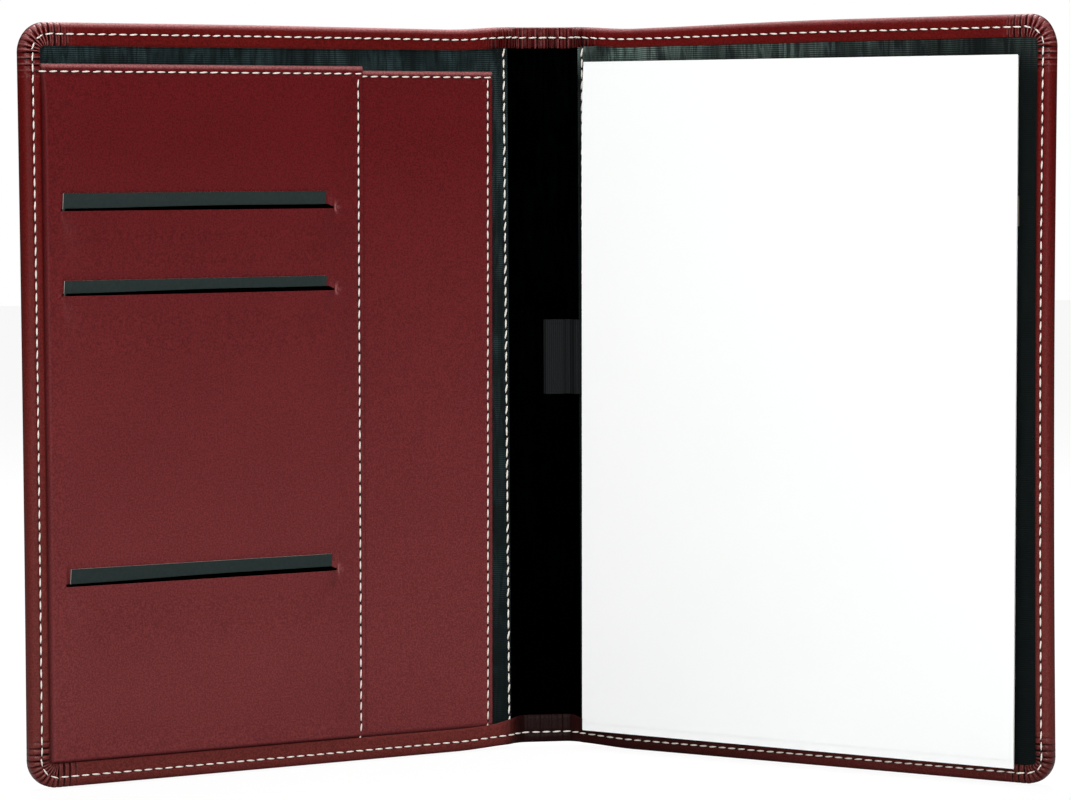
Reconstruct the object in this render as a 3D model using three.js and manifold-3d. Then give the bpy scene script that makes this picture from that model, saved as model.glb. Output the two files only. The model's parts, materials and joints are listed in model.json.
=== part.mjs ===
// An A5 padfolio standing open like a book: two padded leather covers joined by a soft spine,
// a panel with three card slots over a document pocket on the left, a writing pad on the right.
// Millimetres, +Z up. The covers' outer edges point towards -Y, and the origin is at the middle
// of the base. Each cover is drawn lying on its hinge line: u runs from the hinge to the outer
// edge, v up the cover, and h from the leather's inner face (0) towards the reader.
import * as THREE from "three";
import { mergeVertices } from "three/addons/utils/BufferGeometryUtils.js";
import Module from "manifold-3d";

const wasm = await Module();
wasm.setup();

// Pose
const frontAngle = 29; // degrees from the picture plane to the front cover
const backAngle = 31.5; // degrees from the picture plane to the back cover
const spineAngle = 8; // degrees that the spine turns towards the back cover

// Writing pad
const padWidth = 148;
const padHeight = 210;
const padThickness = 4.5;
const padStart = 6.9; // from the hinge line
const padBase = 5.5;
const padMargin = 9.4; // from the pad to the cover's outer edge
const padHeadroom = 10.5; // from the pad to the cover's top
const padTurn = 0.24; // degrees that the loose pad has turned on its cover
const backingThickness = 0.5;
const backingInset = 3; // from the pad's edge to the cardboard's
const backingSlotDrop = 50.5; // from the pad's top to the slot in the lining
const backingSlotGape = 9;
const backingSlotMargin = 1.5;

// Covers
const coverWidth = padStart + padWidth + padMargin; // from the hinge line to the outer edge
const coverHeight = padBase + padHeight + padHeadroom;
const cornerRadius = 8.5;
const spineWidth = 22; // between the two hinge lines
const leather = 0.8;
const edgeRound = 2.2; // outside radius of the rolled edge
const foldRound = 0.8; // inside size of the rolled edge's corners
const spineRound = 1; // outside radius of the spine's folded ends
const cornerCore = 0.6; // radius left flat inside a gathered corner
const hingeGap = 0.3; // leather left off on each side of a hinge line
const frontSideBorder = 5.9; // widths of the turned-in border
const frontTopBorder = 6.5;
const frontBottomBorder = 7.3;
const backSideBorder = 4.9;
const backTopBorder = 5.7;
const backBottomBorder = 5.7;
const spineTopBorder = 6.4;
const spineBottomBorder = 8.8;

// Layers
const layerGap = 0.15; // between two layers lying on each other
const foam = 1;
const foamGap = 0.1; // above and below the foam
const board = 1.5;
const cloth = 0.3;
const boardInset = 1; // from the outer edge to the board's edge
const foamInset = 1.9;
const liningInset = 1.4;
const boardStart = 2; // from the hinge line to the board
const liningStart = 1.8;
const backLiningStart = 2.6;

// Gathers
const cornerGathers = 8; // folds fanned round each corner
const gatherDepth = 0.45;
const spineGathers = 9;
const spineGatherDepth = 0.35;
const gatheredLength = 9; // of border beside the spine
const edgeGathers = 4;

// Document pocket
const panelLeather = 0.7;
const tuckedLeather = 0.35; // skived edge under the border
const pocketStart = 8; // from the hinge line
const pocketDrop = 0.5; // from the card panel's top to the pocket's
const tuckRise = 3; // from the border's inner edge to where a panel is at full height
const tuckSlack = 0.4; // between the cover's edge roll and a tucked edge
const hemBand = 3.6;
const hemRise = 0.25;

// Cards
const cardWidth = 85.6;
const cardHeight = 55;
const cardThickness = 0.35;
const cardPeeks = [5.2, 4.5, 5.3];
const cardShifts = [2.2, 3.1, 3.1]; // from a slot's inner end to its card
const cardFoot = 0.2; // from the panel's lower rise to the lowest card
const cardAtSlot = 0.3; // depth of a card's front below the panel's front, at the slot
const cardLean = 0.75; // how far its top comes forward above the slot
const cardBend = 16;
const cardHeadroom = 2.4; // from a card's top edge to where the panel is level again
const pouchCloth = 0.15;
const pouchMargin = 1.6;
const pouchDrop = 1; // from the slot to the pouch's top edge

// Card panel
const panelDrop = 12.5; // from the cover's top to the panel's
const panelBand = 10.3; // leather between the panel's free edge and the slots
const panelRise = 8; // from the free edges to the panel's full height
const slotMargin = 10.7; // from the slots to the cover's outer edge
const slotSpare = 4.2; // length of a slot beyond its card's width
const upperSlotDrop = 42.5; // from the panel's top
const slotSpacing = 25; // from the upper slot to the middle one
const slotGape = 0.6;
const slotEase = 1.4; // length over which a slot closes at its ends
const lipReach = 20; // how far below a slot its lower lip swells
const lipSwell = 1.05;
const lipSink = 9; // how far above a slot its upper lip is pressed back

// Pen loop
const loopHeight = 23.4;
const loopDrop = 1.2; // from the cover's middle down to the loop's foot
const loopTip = 11.4; // from the front hinge line
const loopTube = 6.2;
const loopTail = 4.4;
const loopDepth = 3.6;
const elastic = 0.8;
const sewnElastic = 1.3; // the two layers of the tail, pressed flat by their seam

const degrees = Math.PI / 180;
const smooth = (t) => {
  const x = THREE.MathUtils.clamp(t, 0, 1);
  return x * x * (3 - 2 * x);
};

// Places on the covers
const slotEnd = coverWidth - slotMargin;
const slotStart = slotEnd - cardWidth - slotSpare;
const cardStarts = cardShifts.map((shift) => slotStart + shift);
const panelStart = slotStart - panelBand;
const panelTop = coverHeight - panelDrop;
const pocketTop = panelTop - pocketDrop;
const lowerSlot = frontBottomBorder + tuckRise + cardFoot + cardHeight - cardPeeks[0];
const upperSlot = panelTop - upperSlotDrop;
const slotHeights = [lowerSlot, upperSlot - slotSpacing, upperSlot];
const backingSlot = padBase + padHeight - backingSlotDrop;
const loopBase = coverHeight / 2 - loopDrop;
const frontBorders = [frontTopBorder, frontSideBorder, frontBottomBorder];
const backBorders = [backTopBorder, backSideBorder, backBottomBorder];

// Heights of the layers above the leather's inner face
const foamBase = foamGap;
const boardBase = foamBase + foam + foamGap;
const boardTop = boardBase + board;
const liningTop = boardTop + layerGap + cloth;
const pocketTuck = liningTop + layerGap + tuckedLeather;
const panelTuck = pocketTuck + layerGap + tuckedLeather;
const frontFlapBase = panelTuck + layerGap;
const pocketFront = liningTop + layerGap + panelLeather;
const backPouchFront = pocketFront + layerGap + pouchCloth;
const backCardFront = backPouchFront + layerGap + cardThickness;
const middlePouchFront = backCardFront + layerGap + pouchCloth;
const middleCardFront = middlePouchFront + layerGap + cardThickness;
const panelFront = middleCardFront + layerGap + panelLeather;
const panelEdgeFront = pocketFront + layerGap + panelLeather;
const backingFront = boardTop + layerGap + backingThickness;
const backLiningTop = backingFront + layerGap + cloth;
const backingRaised = backLiningTop + layerGap + backingThickness;
const backFlapBase = backLiningTop + layerGap;
const padFloor = Math.max(backingRaised, backFlapBase + leather) + layerGap;
const spineLiningTop = layerGap + cloth;
const spineFlapBase = spineLiningTop + layerGap;

// A closed mesh from a list of points and triangles
function solidFrom(points, triangles) {
  const geometry = new THREE.BufferGeometry();
  geometry.setAttribute("position", new THREE.Float32BufferAttribute(points, 3));
  geometry.setIndex(triangles);
  return geometry;
}

// A copy with positions only, in which touching corners are one point
function welded(geometry) {
  const bare = geometry.clone();
  bare.deleteAttribute("normal");
  bare.deleteAttribute("uv");
  return mergeVertices(bare, 1e-4);
}

function flipped(geometry) {
  const bare = welded(geometry);
  bare.setIndex(Array.from(bare.index.array).reverse());
  return bare;
}

function mirrored(geometry) {
  return flipped(geometry.scale(-1, 1, 1));
}

function toManifold(geometry) {
  const merged = welded(geometry);
  return new wasm.Manifold(new wasm.Mesh({
    numProp: 3,
    vertProperties: new Float32Array(merged.attributes.position.array),
    triVerts: new Uint32Array(merged.index.array),
  }));
}

function fromManifold(solid) {
  const mesh = solid.getMesh();
  return solidFrom(Array.from(mesh.vertProperties), Array.from(mesh.triVerts));
}

function united(geometries) {
  let whole = toManifold(geometries[0]);
  for (const geometry of geometries.slice(1)) whole = whole.add(toManifold(geometry));
  return fromManifold(whole);
}

// A thin sheet over a grid of u and v lines, with a front and a back height at each crossing.
// place moves a crossing in the sheet's plane, and open leaves a cell out.
function sheet(us, vs, front, back, { place = (u, v) => [u, v], open = () => false } = {}) {
  const points = [];
  const index = new Map();
  const corner = (i, j, side) => {
    const key = `${i},${j},${side}`;
    if (!index.has(key)) {
      const [u, v] = place(us[i], vs[j]);
      index.set(key, points.length / 3);
      points.push(u, side ? front(us[i], vs[j]) : back(us[i], vs[j]), v);
    }
    return index.get(key);
  };
  const inside = (i, j) => {
    if (i < 0 || j < 0 || i >= us.length - 1 || j >= vs.length - 1) return false;
    return !open((us[i] + us[i + 1]) / 2, (vs[j] + vs[j + 1]) / 2);
  };
  const triangles = [];
  const quad = (a, b, c, d) => triangles.push(a, b, c, a, c, d);
  for (let i = 0; i < us.length - 1; i += 1) {
    for (let j = 0; j < vs.length - 1; j += 1) {
      if (!inside(i, j)) continue;
      quad(corner(i, j, 1), corner(i, j + 1, 1), corner(i + 1, j + 1, 1), corner(i + 1, j, 1));
      quad(corner(i, j, 0), corner(i + 1, j, 0), corner(i + 1, j + 1, 0), corner(i, j + 1, 0));
      const wall = (p, q) => quad(corner(...p, 0), corner(...q, 0), corner(...q, 1), corner(...p, 1));
      if (!inside(i, j - 1)) wall([i + 1, j], [i, j]);
      if (!inside(i, j + 1)) wall([i, j + 1], [i + 1, j + 1]);
      if (!inside(i - 1, j)) wall([i, j], [i, j + 1]);
      if (!inside(i + 1, j)) wall([i + 1, j + 1], [i + 1, j]);
    }
  }
  return solidFrom(points, triangles);
}

// A flat layer with the cover's rounded outer corners
function layer(start, inset, base, thickness, openings = []) {
  const right = coverWidth - inset;
  const top = coverHeight - inset;
  const radius = cornerRadius - inset;
  const outline = new THREE.Shape();
  outline.moveTo(start, inset);
  outline.lineTo(right - radius, inset);
  outline.absarc(right - radius, inset + radius, radius, -Math.PI / 2, 0);
  outline.lineTo(right, top - radius);
  outline.absarc(right - radius, top - radius, radius, 0, Math.PI / 2);
  outline.lineTo(start, top);
  outline.closePath();
  for (const [u0, v0, u1, v1] of openings) {
    const hole = new THREE.Path();
    hole.moveTo(u0, v0);
    hole.lineTo(u0, v1);
    hole.lineTo(u1, v1);
    hole.lineTo(u1, v0);
    hole.closePath();
    outline.holes.push(hole);
  }
  return upright(new THREE.ExtrudeGeometry(outline, { depth: thickness, bevelEnabled: false, curveSegments: 6 }), base);
}

// Turns an extrusion drawn in u and v so that its depth becomes h
function upright(geometry, base) {
  geometry.applyMatrix4(new THREE.Matrix4().set(1, 0, 0, 0, 0, 0, 1, base, 0, 1, 0, 0, 0, 0, 0, 1));
  return flipped(geometry);
}

// The section of a turned-in border: the outer leather rolls round the edge and comes back
// over the layers. Points are [distance in from the edge, height], flap is its upper height.
function borderSection(width, flapBase, round, dip) {
  const flap = flapBase + leather;
  const rolled = (centre, from, to) => [0, 1, 2, 3].map((step) => {
    const angle = (from + ((to - from) * step) / 3) * degrees;
    return [centre[0] + round * Math.cos(angle), centre[1] + round * Math.sin(angle)];
  });
  const inner = Math.min(foldRound, flapBase / 3);
  const end = cornerRadius - cornerCore;
  return [
    [end, -leather],
    ...rolled([round, round - leather], 270, 180),
    ...rolled([round, flap - round], 180, 90).map(([n, h], step) => [n, h - (dip * step) / 3]),
    [width - leather / 2, flap - dip],
    [width, flap - leather / 2 - dip / 2],
    [width, flapBase],
    [leather + inner, flapBase],
    [leather, flapBase - inner],
    [leather, inner],
    [leather + inner, 0],
    [end, 0],
  ];
}

// Sweeps border sections along stations { at: [u, v], inward: [du, dv], section }
function sweepBorder(stations) {
  const points = [];
  const triangles = [];
  const count = stations[0].section.length;
  for (const { at, inward, section } of stations) {
    for (const [n, h] of section) points.push(at[0] + inward[0] * n, h, at[1] + inward[1] * n);
  }
  for (let s = 0; s < stations.length - 1; s += 1) {
    for (let k = 0; k < count; k += 1) {
      const a = s * count + k;
      const b = s * count + ((k + 1) % count);
      triangles.push(a, a + count, b + count, a, b + count, b);
    }
  }
  const cap = THREE.ShapeUtils.triangulateShape(stations[0].section.map(([n, h]) => new THREE.Vector2(n, h)), []);
  const last = (stations.length - 1) * count;
  const wound = THREE.ShapeUtils.isClockWise(stations[0].section.map(([n, h]) => new THREE.Vector2(n, h)));
  for (const [a, b, c] of cap) {
    triangles.push(...(wound ? [a, c, b] : [a, b, c]));
    triangles.push(...(wound ? [last + a, last + b, last + c] : [last + a, last + c, last + b]));
  }
  return outwards(solidFrom(points, triangles));
}

// Turns a mesh's faces outwards if its volume comes out negative
function outwards(geometry) {
  const p = geometry.attributes.position;
  const index = geometry.index.array;
  const [a, b, c] = [new THREE.Vector3(), new THREE.Vector3(), new THREE.Vector3()];
  let volume = 0;
  for (let k = 0; k < index.length; k += 3) {
    a.fromBufferAttribute(p, index[k]);
    b.fromBufferAttribute(p, index[k + 1]);
    c.fromBufferAttribute(p, index[k + 2]);
    volume += a.dot(b.cross(c));
  }
  return volume < 0 ? flipped(geometry) : geometry;
}

// Outer leather of a cover with its border turned in round three sides
function coverLeather([topBorder, sideBorder, bottomBorder], flapBase) {
  const stations = [];
  const station = (at, inward, width, dip) => {
    stations.push({ at, inward, section: borderSection(width, flapBase, edgeRound, dip) });
  };
  const beside = [];
  for (let k = 0; k <= edgeGathers * 2; k += 1) {
    beside.push([boardStart + (gatheredLength * k) / (edgeGathers * 2), k % 2 ? gatherDepth : 0]);
  }
  const right = coverWidth - cornerRadius;
  const corner = (v, from, widths) => {
    for (let k = 0; k <= cornerGathers * 2; k += 1) {
      const turned = k / (cornerGathers * 2);
      const angle = (from - 90 * turned) * degrees;
      const out = [Math.cos(angle), Math.sin(angle)];
      const at = [right + out[0] * cornerRadius, v + out[1] * cornerRadius];
      station(at, [-out[0], -out[1]], THREE.MathUtils.lerp(...widths, turned), k % 2 ? gatherDepth : 0);
    }
  };
  for (const [u, dip] of beside) station([u, coverHeight], [0, -1], topBorder, dip);
  corner(coverHeight - cornerRadius, 90, [topBorder, sideBorder]);
  corner(cornerRadius, 0, [sideBorder, bottomBorder]);
  for (const [u, dip] of beside.reverse()) station([u, 0], [0, 1], bottomBorder, dip);
  const plate = layer(hingeGap, edgeRound, -leather, leather);
  const hingeStrip = new THREE.BoxGeometry(edgeRound * 2, leather, coverHeight);
  hingeStrip.translate(hingeGap + edgeRound, -leather / 2, coverHeight / 2);
  return united([plate, hingeStrip, sweepBorder(stations)]);
}

// Where a panel tucked under the border meets the cover's rounded corner
function tuckedCorner(inset) {
  const radius = cornerRadius - inset;
  const centre = [coverWidth - cornerRadius, cornerRadius];
  return (u, v) => {
    const du = u - centre[0];
    const dv = centre[1] - v;
    if (du <= 0 || dv <= 0) return [u, v];
    const pull = Math.max(du, dv) / Math.hypot(du, dv);
    return [centre[0] + du * Math.min(1, pull), centre[1] - dv * Math.min(1, pull)];
  };
}

// Grid lines that a tucked panel needs at the outer edge and at the bottom
const tuckInset = leather + foldRound + tuckSlack;
const cornerLines = [0, 0.35, 0.7, 1].map((t) => (cornerRadius - tuckInset) * t);
const tuckedUs = cornerLines.map((d) => coverWidth - cornerRadius + d);
const tuckedVs = cornerLines.map((d) => cornerRadius - d).reverse();
const riseSteps = [0, 0.34, 0.67, 1].map((t) => tuckRise * t);
const riseUs = riseSteps.map((d) => coverWidth - frontSideBorder - d);
const riseVs = riseSteps.map((d) => frontBottomBorder + d);

const sortedLines = (lines) => [...new Set(lines.map((x) => Math.round(x * 1000) / 1000))].sort((a, b) => a - b);

// How far a point is above its tucked height, 0 under the border and 1 past the rise
const tuckedShare = (u, v) => {
  const fromBorder = Math.min(coverWidth - frontSideBorder - u, v - frontBottomBorder);
  return smooth(fromBorder / tuckRise);
};

function documentPocket() {
  const hemEnd = panelStart - hemBand / 2;
  const us = sortedLines([pocketStart, pocketStart + hemBand / 2, pocketStart + hemBand, hemEnd,
    hemEnd + hemBand / 4, ...riseUs, ...tuckedUs]);
  const vs = sortedLines([...tuckedVs, ...riseVs, pocketTop - hemBand, pocketTop - hemBand / 2, pocketTop]);
  const front = (u, v) => {
    const hem = Math.min(u - pocketStart, pocketTop - v);
    const level = pocketFront + (hem < hemBand && hem > 0 && u <= hemEnd ? hemRise : 0);
    return THREE.MathUtils.lerp(pocketTuck, level, tuckedShare(u, v));
  };
  const thickness = (u, v) => THREE.MathUtils.lerp(tuckedLeather, panelLeather, tuckedShare(u, v));
  const back = (u, v) => Math.min(front(u, v), THREE.MathUtils.lerp(pocketTuck, pocketFront, tuckedShare(u, v)))
    - thickness(u, v);
  return sheet(us, vs, front, back, { place: tuckedCorner(tuckInset) });
}

// Level of a card's front face, from where it lies behind the panel to its free top edge
function cardFront(slot, rest) {
  const atSlot = panelFront - cardAtSlot;
  return (v) => {
    if (v <= slotHeights[slot]) return rest + (atSlot - rest) * smooth(1 - (slotHeights[slot] - v) / cardBend);
    return atSlot + (cardLean * (v - slotHeights[slot])) / cardPeeks[slot];
  };
}

const lipStepsBelow = [1, 0.7, 0.4, 0.2, 0.06, 0].map((t) => lipReach * t);
const lipStepsAbove = [0.3, 0.6, 1].map((t) => lipSink * t);
const slotLines = slotHeights.flatMap((v) => [
  ...lipStepsBelow.map((d) => v - d),
  ...lipStepsAbove.map((d) => v + slotGape + d),
  v + slotGape,
]);

function cardPanel() {
  const us = sortedLines([
    panelStart, panelStart + hemBand / 2, panelStart + hemBand, panelStart + panelRise,
    slotStart, slotStart + slotEase, slotStart + slotEase * 2, (slotStart * 2 + slotEnd) / 3,
    (slotStart + slotEnd * 2) / 3, slotEnd - slotEase, slotEnd - slotEase / 2, slotEnd,
    ...riseUs, ...tuckedUs,
  ]);
  const vs = sortedLines([
    ...tuckedVs, ...riseVs, ...slotLines,
    panelTop - panelRise, panelTop - hemBand, panelTop - hemBand / 2, panelTop,
  ]);
  const level = (u, v) => {
    const free = Math.min(u - panelStart, panelTop - v);
    const edge = panelEdgeFront + (free > 0 && free < hemBand ? hemRise : 0);
    return edge + (panelFront - edge) * smooth((free - hemBand) / (panelRise - hemBand));
  };
  const lips = (u, v) => {
    const ends = smooth(Math.min((u - slotStart) / (slotEase * 2), (slotEnd - u) / slotEase));
    let rise = 0;
    slotHeights.forEach((slot, k) => {
      const below = slot - v;
      const above = v - slot - slotGape;
      if (below >= -1e-6 && below < lipReach) rise += lipSwell * smooth(1 - below / lipReach) * ends;
      if (above >= -1e-6 && above < lipSink) {
        const clear = cardAtSlot + cardThickness + layerGap;
        rise -= clear * smooth(1 - above / (cardPeeks[k] + cardHeadroom)) * ends;
      }
    });
    return rise;
  };
  const front = (u, v) => THREE.MathUtils.lerp(panelTuck, level(u, v) + lips(u, v), tuckedShare(u, v));
  const thickness = (u, v) => THREE.MathUtils.lerp(tuckedLeather, panelLeather, tuckedShare(u, v));
  const back = (u, v) => {
    const free = Math.min(u - panelStart, panelTop - v);
    const hem = free > 0 && free < hemBand ? hemRise * tuckedShare(u, v) : 0;
    return front(u, v) - thickness(u, v) - hem;
  };
  const open = (u, v) => slotHeights.some((slot) => v > slot && v < slot + slotGape) && u > slotStart && u < slotEnd;
  return sheet(us, vs, front, back, { place: tuckedCorner(tuckInset), open });
}

function card(slot, rest) {
  const top = slotHeights[slot] + cardPeeks[slot];
  const bottom = top - cardHeight;
  const steps = slotLines.filter((v) => v > slotHeights[slot] - lipReach && v <= slotHeights[slot]);
  const vs = sortedLines([bottom, ...steps, slotHeights[slot] - lipReach, top]);
  const front = (u, v) => cardFront(slot, rest)(v);
  return sheet([cardStarts[slot], cardStarts[slot] + cardWidth], vs, front, (u, v) => front(u, v) - cardThickness);
}

function pouch(slot, front) {
  const top = slotHeights[slot] - pouchDrop;
  const bottom = slotHeights[slot] + cardPeeks[slot] - cardHeight - layerGap;
  const us = [cardStarts[slot] - pouchMargin, cardStarts[slot] + cardWidth + pouchMargin];
  return sheet(us, [bottom, top], () => front, () => front - pouchCloth);
}

// Spine leather: a flat strip whose ends are turned in and gathered
function spineLeather() {
  const half = spineWidth / 2 - hingeGap;
  const strip = new THREE.BoxGeometry(half * 2, leather, coverHeight - edgeRound * 2);
  strip.translate(0, -leather / 2, coverHeight / 2);
  const end = (v, inward, width) => {
    const stations = [];
    for (let k = 0; k <= spineGathers * 2; k += 1) {
      const u = -half + (half * 2 * k) / (spineGathers * 2);
      const section = borderSection(width, spineFlapBase, spineRound, k % 2 ? spineGatherDepth : 0);
      stations.push({ at: [u, v], inward: [0, inward], section });
    }
    return sweepBorder(stations);
  };
  return united([strip, end(0, 1, spineBottomBorder), end(coverHeight, -1, spineTopBorder)]);
}

function spineLining() {
  const half = spineWidth / 2 - hingeGap;
  const inset = edgeRound + layerGap;
  return sheet([-half, half], [inset, coverHeight - inset], () => spineLiningTop, () => layerGap);
}

// Elastic band folded double: an open tube beside the tail that is sewn down
function penLoop() {
  const tip = spineWidth / 2 - loopTip;
  const tubeEnd = tip - loopTube;
  const floor = spineLiningTop + layerGap;
  const round = loopDepth / 2;
  const outline = new THREE.Shape();
  outline.moveTo(tubeEnd - loopTail, floor);
  outline.lineTo(tip - round, floor);
  outline.absarc(tip - round, floor + round, round, -Math.PI / 2, Math.PI / 2);
  outline.lineTo(tubeEnd + round, floor + loopDepth);
  outline.lineTo(tubeEnd, floor + sewnElastic);
  outline.lineTo(tubeEnd - loopTail, floor + sewnElastic);
  outline.closePath();
  const inside = new THREE.Path();
  const small = round - elastic;
  inside.moveTo(tubeEnd + elastic, floor + elastic);
  inside.lineTo(tubeEnd + round + elastic / 2, floor + loopDepth - elastic);
  inside.lineTo(tip - round, floor + loopDepth - elastic);
  inside.absarc(tip - round, floor + round, small, Math.PI / 2, -Math.PI / 2, true);
  inside.closePath();
  outline.holes.push(inside);
  const loop = new THREE.ExtrudeGeometry(outline, { depth: loopHeight, bevelEnabled: false, curveSegments: 8 });
  return loop.translate(0, 0, loopBase);
}

// The pad lies a little askew on its cover
function turnedPad(geometry) {
  const middle = [padStart + padWidth / 2, 0, padBase + padHeight / 2];
  return geometry.translate(...middle.map((d) => -d)).rotateY(padTurn * degrees).translate(...middle);
}

// The pad's cardboard: behind the lining below its slot, in front of it above
function padBacking() {
  const us = [padStart + backingInset, padStart + padWidth - backingInset];
  const bottom = padBase + backingInset;
  const rise = [0, 0.25, 0.5, 0.75, 1].map((t) => backingSlot + backingSlotGape * t);
  const vs = [bottom + cornerRadius, ...rise, padBase + padHeight - backingInset];
  const front = (u, v) => backingFront + (backingRaised - backingFront) * smooth((v - backingSlot) / backingSlotGape);
  return turnedPad(sheet(us, vs, front, (u, v) => front(u, v) - backingThickness));
}

function padSheets() {
  const block = new THREE.BoxGeometry(padWidth, padThickness, padHeight);
  block.translate(padStart + padWidth / 2, padFloor + padThickness / 2, padBase + padHeight / 2);
  return turnedPad(block);
}

const finish = (color, roughness) => new THREE.MeshStandardMaterial({ color, roughness, metalness: 0 });
const burgundy = finish(0x64191c, 0.45);
const panelBurgundy = finish(0x6a1e22, 0.45);
const blackCloth = finish(0x1a2625, 0.7);
const spineCloth = finish(0x0c0e0e, 0.75);
const ribbedElastic = finish(0x191b1d, 0.85);
const darkCard = finish(0x263230, 0.55);
const greyboard = finish(0x8c8478, 0.9);
const padding = finish(0xd8d4c8, 0.95);
const paper = finish(0xfafafa, 0.85);

function addMesh(group, name, geometry, material) {
  const bare = welded(geometry);
  bare.computeVertexNormals();
  const mesh = new THREE.Mesh(bare, material);
  mesh.name = name;
  group.add(mesh);
}

const padfolio = new THREE.Group();

const spine = new THREE.Group();
spine.rotation.z = Math.PI + spineAngle * degrees;
addMesh(spine, "spine_leather", spineLeather(), burgundy);
addMesh(spine, "spine_lining", spineLining(), spineCloth);
addMesh(spine, "pen_loop", penLoop(), ribbedElastic);
padfolio.add(spine);

const frontCover = new THREE.Group();
frontCover.position.x = spineWidth / 2;
frontCover.rotation.z = (frontAngle - spineAngle) * degrees;
addMesh(frontCover, "front_leather", coverLeather(frontBorders, frontFlapBase), burgundy);
addMesh(frontCover, "front_foam", layer(boardStart, foamInset, foamBase, foam), padding);
addMesh(frontCover, "front_board", layer(boardStart, boardInset, boardBase, board), greyboard);
addMesh(frontCover, "front_lining", layer(liningStart, liningInset, boardTop + layerGap, cloth), blackCloth);
addMesh(frontCover, "document_pocket", documentPocket(), panelBurgundy);
addMesh(frontCover, "card_panel", cardPanel(), panelBurgundy);
const cardNames = ["lower", "middle", "upper"];
cardNames.forEach((name, slot) => {
  const inFront = name === "middle";
  const cardRest = inFront ? middleCardFront : backCardFront;
  const pouchFront = inFront ? middlePouchFront : backPouchFront;
  addMesh(frontCover, `${name}_card`, card(slot, cardRest), darkCard);
  addMesh(frontCover, `${name}_card_pouch`, pouch(slot, pouchFront), blackCloth);
});
spine.add(frontCover);

const backCover = new THREE.Group();
backCover.position.x = -spineWidth / 2;
backCover.rotation.z = -(backAngle + spineAngle) * degrees;
const liningSlot = [padStart + backingInset - backingSlotMargin, backingSlot,
  padStart + padWidth - backingInset + backingSlotMargin, backingSlot + backingSlotGape];
const backParts = {
  back_leather: [coverLeather(backBorders, backFlapBase), burgundy],
  back_foam: [layer(boardStart, foamInset, foamBase, foam), padding],
  back_board: [layer(boardStart, boardInset, boardBase, board), greyboard],
  back_lining: [layer(backLiningStart, tuckInset, backingFront + layerGap, cloth, [liningSlot]), blackCloth],
  pad_backing: [padBacking(), greyboard],
  pad_sheets: [padSheets(), paper],
};
for (const [name, [geometry, material]] of Object.entries(backParts)) {
  addMesh(backCover, name, mirrored(geometry), material);
}
spine.add(backCover);

// The origin goes to the middle of the base
padfolio.updateMatrixWorld(true);
const bounds = new THREE.Box3().setFromObject(padfolio, true);
padfolio.position.set(-(bounds.min.x + bounds.max.x) / 2, -(bounds.min.y + bounds.max.y) / 2, -bounds.min.z);

export default padfolio;
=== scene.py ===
"""Dresses an A5 padfolio: leather covers, lining, pockets, cards, pen loop, pad, stitching and its stage."""

import json
import math
import random

import bmesh
import bpy
import numpy as np
from bpy.props import FloatProperty, FloatVectorProperty, IntProperty, PointerProperty
from mathutils import Matrix, Vector


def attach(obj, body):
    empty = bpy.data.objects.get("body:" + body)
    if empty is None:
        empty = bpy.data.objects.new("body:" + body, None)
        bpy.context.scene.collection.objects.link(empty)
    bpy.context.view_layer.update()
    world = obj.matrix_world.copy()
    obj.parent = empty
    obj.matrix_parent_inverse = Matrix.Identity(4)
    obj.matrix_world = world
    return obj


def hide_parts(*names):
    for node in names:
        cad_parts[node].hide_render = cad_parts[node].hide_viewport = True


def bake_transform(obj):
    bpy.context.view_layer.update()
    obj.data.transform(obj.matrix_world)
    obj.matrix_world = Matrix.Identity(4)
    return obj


bl_info = {
    "name": "Leather Padfolio",
    "version": (1, 0, 0),
    "blender": (4, 5, 0),
    "location": "View3D > Sidebar > Padfolio",
    "description": "Makes the surfaces of an open padfolio round its frame",
    "category": "Object",
}

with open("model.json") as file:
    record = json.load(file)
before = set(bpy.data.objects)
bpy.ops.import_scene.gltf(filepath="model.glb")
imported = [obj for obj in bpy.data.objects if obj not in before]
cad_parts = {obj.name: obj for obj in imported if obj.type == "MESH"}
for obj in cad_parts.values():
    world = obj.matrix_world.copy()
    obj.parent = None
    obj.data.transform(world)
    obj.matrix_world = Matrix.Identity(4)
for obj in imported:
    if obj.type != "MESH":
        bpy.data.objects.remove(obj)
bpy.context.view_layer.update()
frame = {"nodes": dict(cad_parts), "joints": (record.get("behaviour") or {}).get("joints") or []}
NODES = frame["nodes"]

MM = 0.001

# Sizes in millimetres: thicknesses, heights above the leather's inner face, and places on a cover
# measured from its hinge line and from its foot.
LEATHER = 0.8
COVER_WIDTH = 164.3
COVER_HEIGHT = 226.0
CORNER_RADIUS = 8.5
FRONT_FLAP = 5.1
BACK_FLAP = 4.75
LINING = 3.15
BACK_LINING = 3.8
POCKET_FRONT = 4.0
PANEL_FRONT = 6.45
PANEL_EDGE = 5.1
PANEL_START = 53.5
PANEL_TOP = 214.3
POCKET_START = 8.0
POCKET_TOP = 213.0
POCKET_TUCK = 3.65
PANEL_TUCK = 4.15
SLOT_HEIGHTS = (60.0, 146.0, 171.0)
CARD_PEEKS = (5.2, 4.5, 5.3)
SLOT_START = 63.8
SLOT_END = 153.1
SLOT_GAPE = 0.6
LIP_REACH = 20.0
LIP_SINK = 9.0
CARD_WIDTH = 85.6
CARD_HEIGHT = 55.0
CARD_BEND = 16.0
CARD_EDGE = 0.05
CARD_FRONT = PANEL_FRONT - 0.3
SIDE_BORDER = 5.9
FOOT_BORDER = 7.3
TUCK_INSET = 2.0
HEM_STITCH = 1.8
HEM_STRIP = 4.5
HEM_STEP = 0.18
POCKET_LEAN = (-0.6, 1.5)
PANEL_LEAN = (-0.4, 0.9)
SPINE_FLAP = 1.45
STITCH_INSET = 3.3
WHITE = (1.0, 1.0, 1.0, 1.0)
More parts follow.
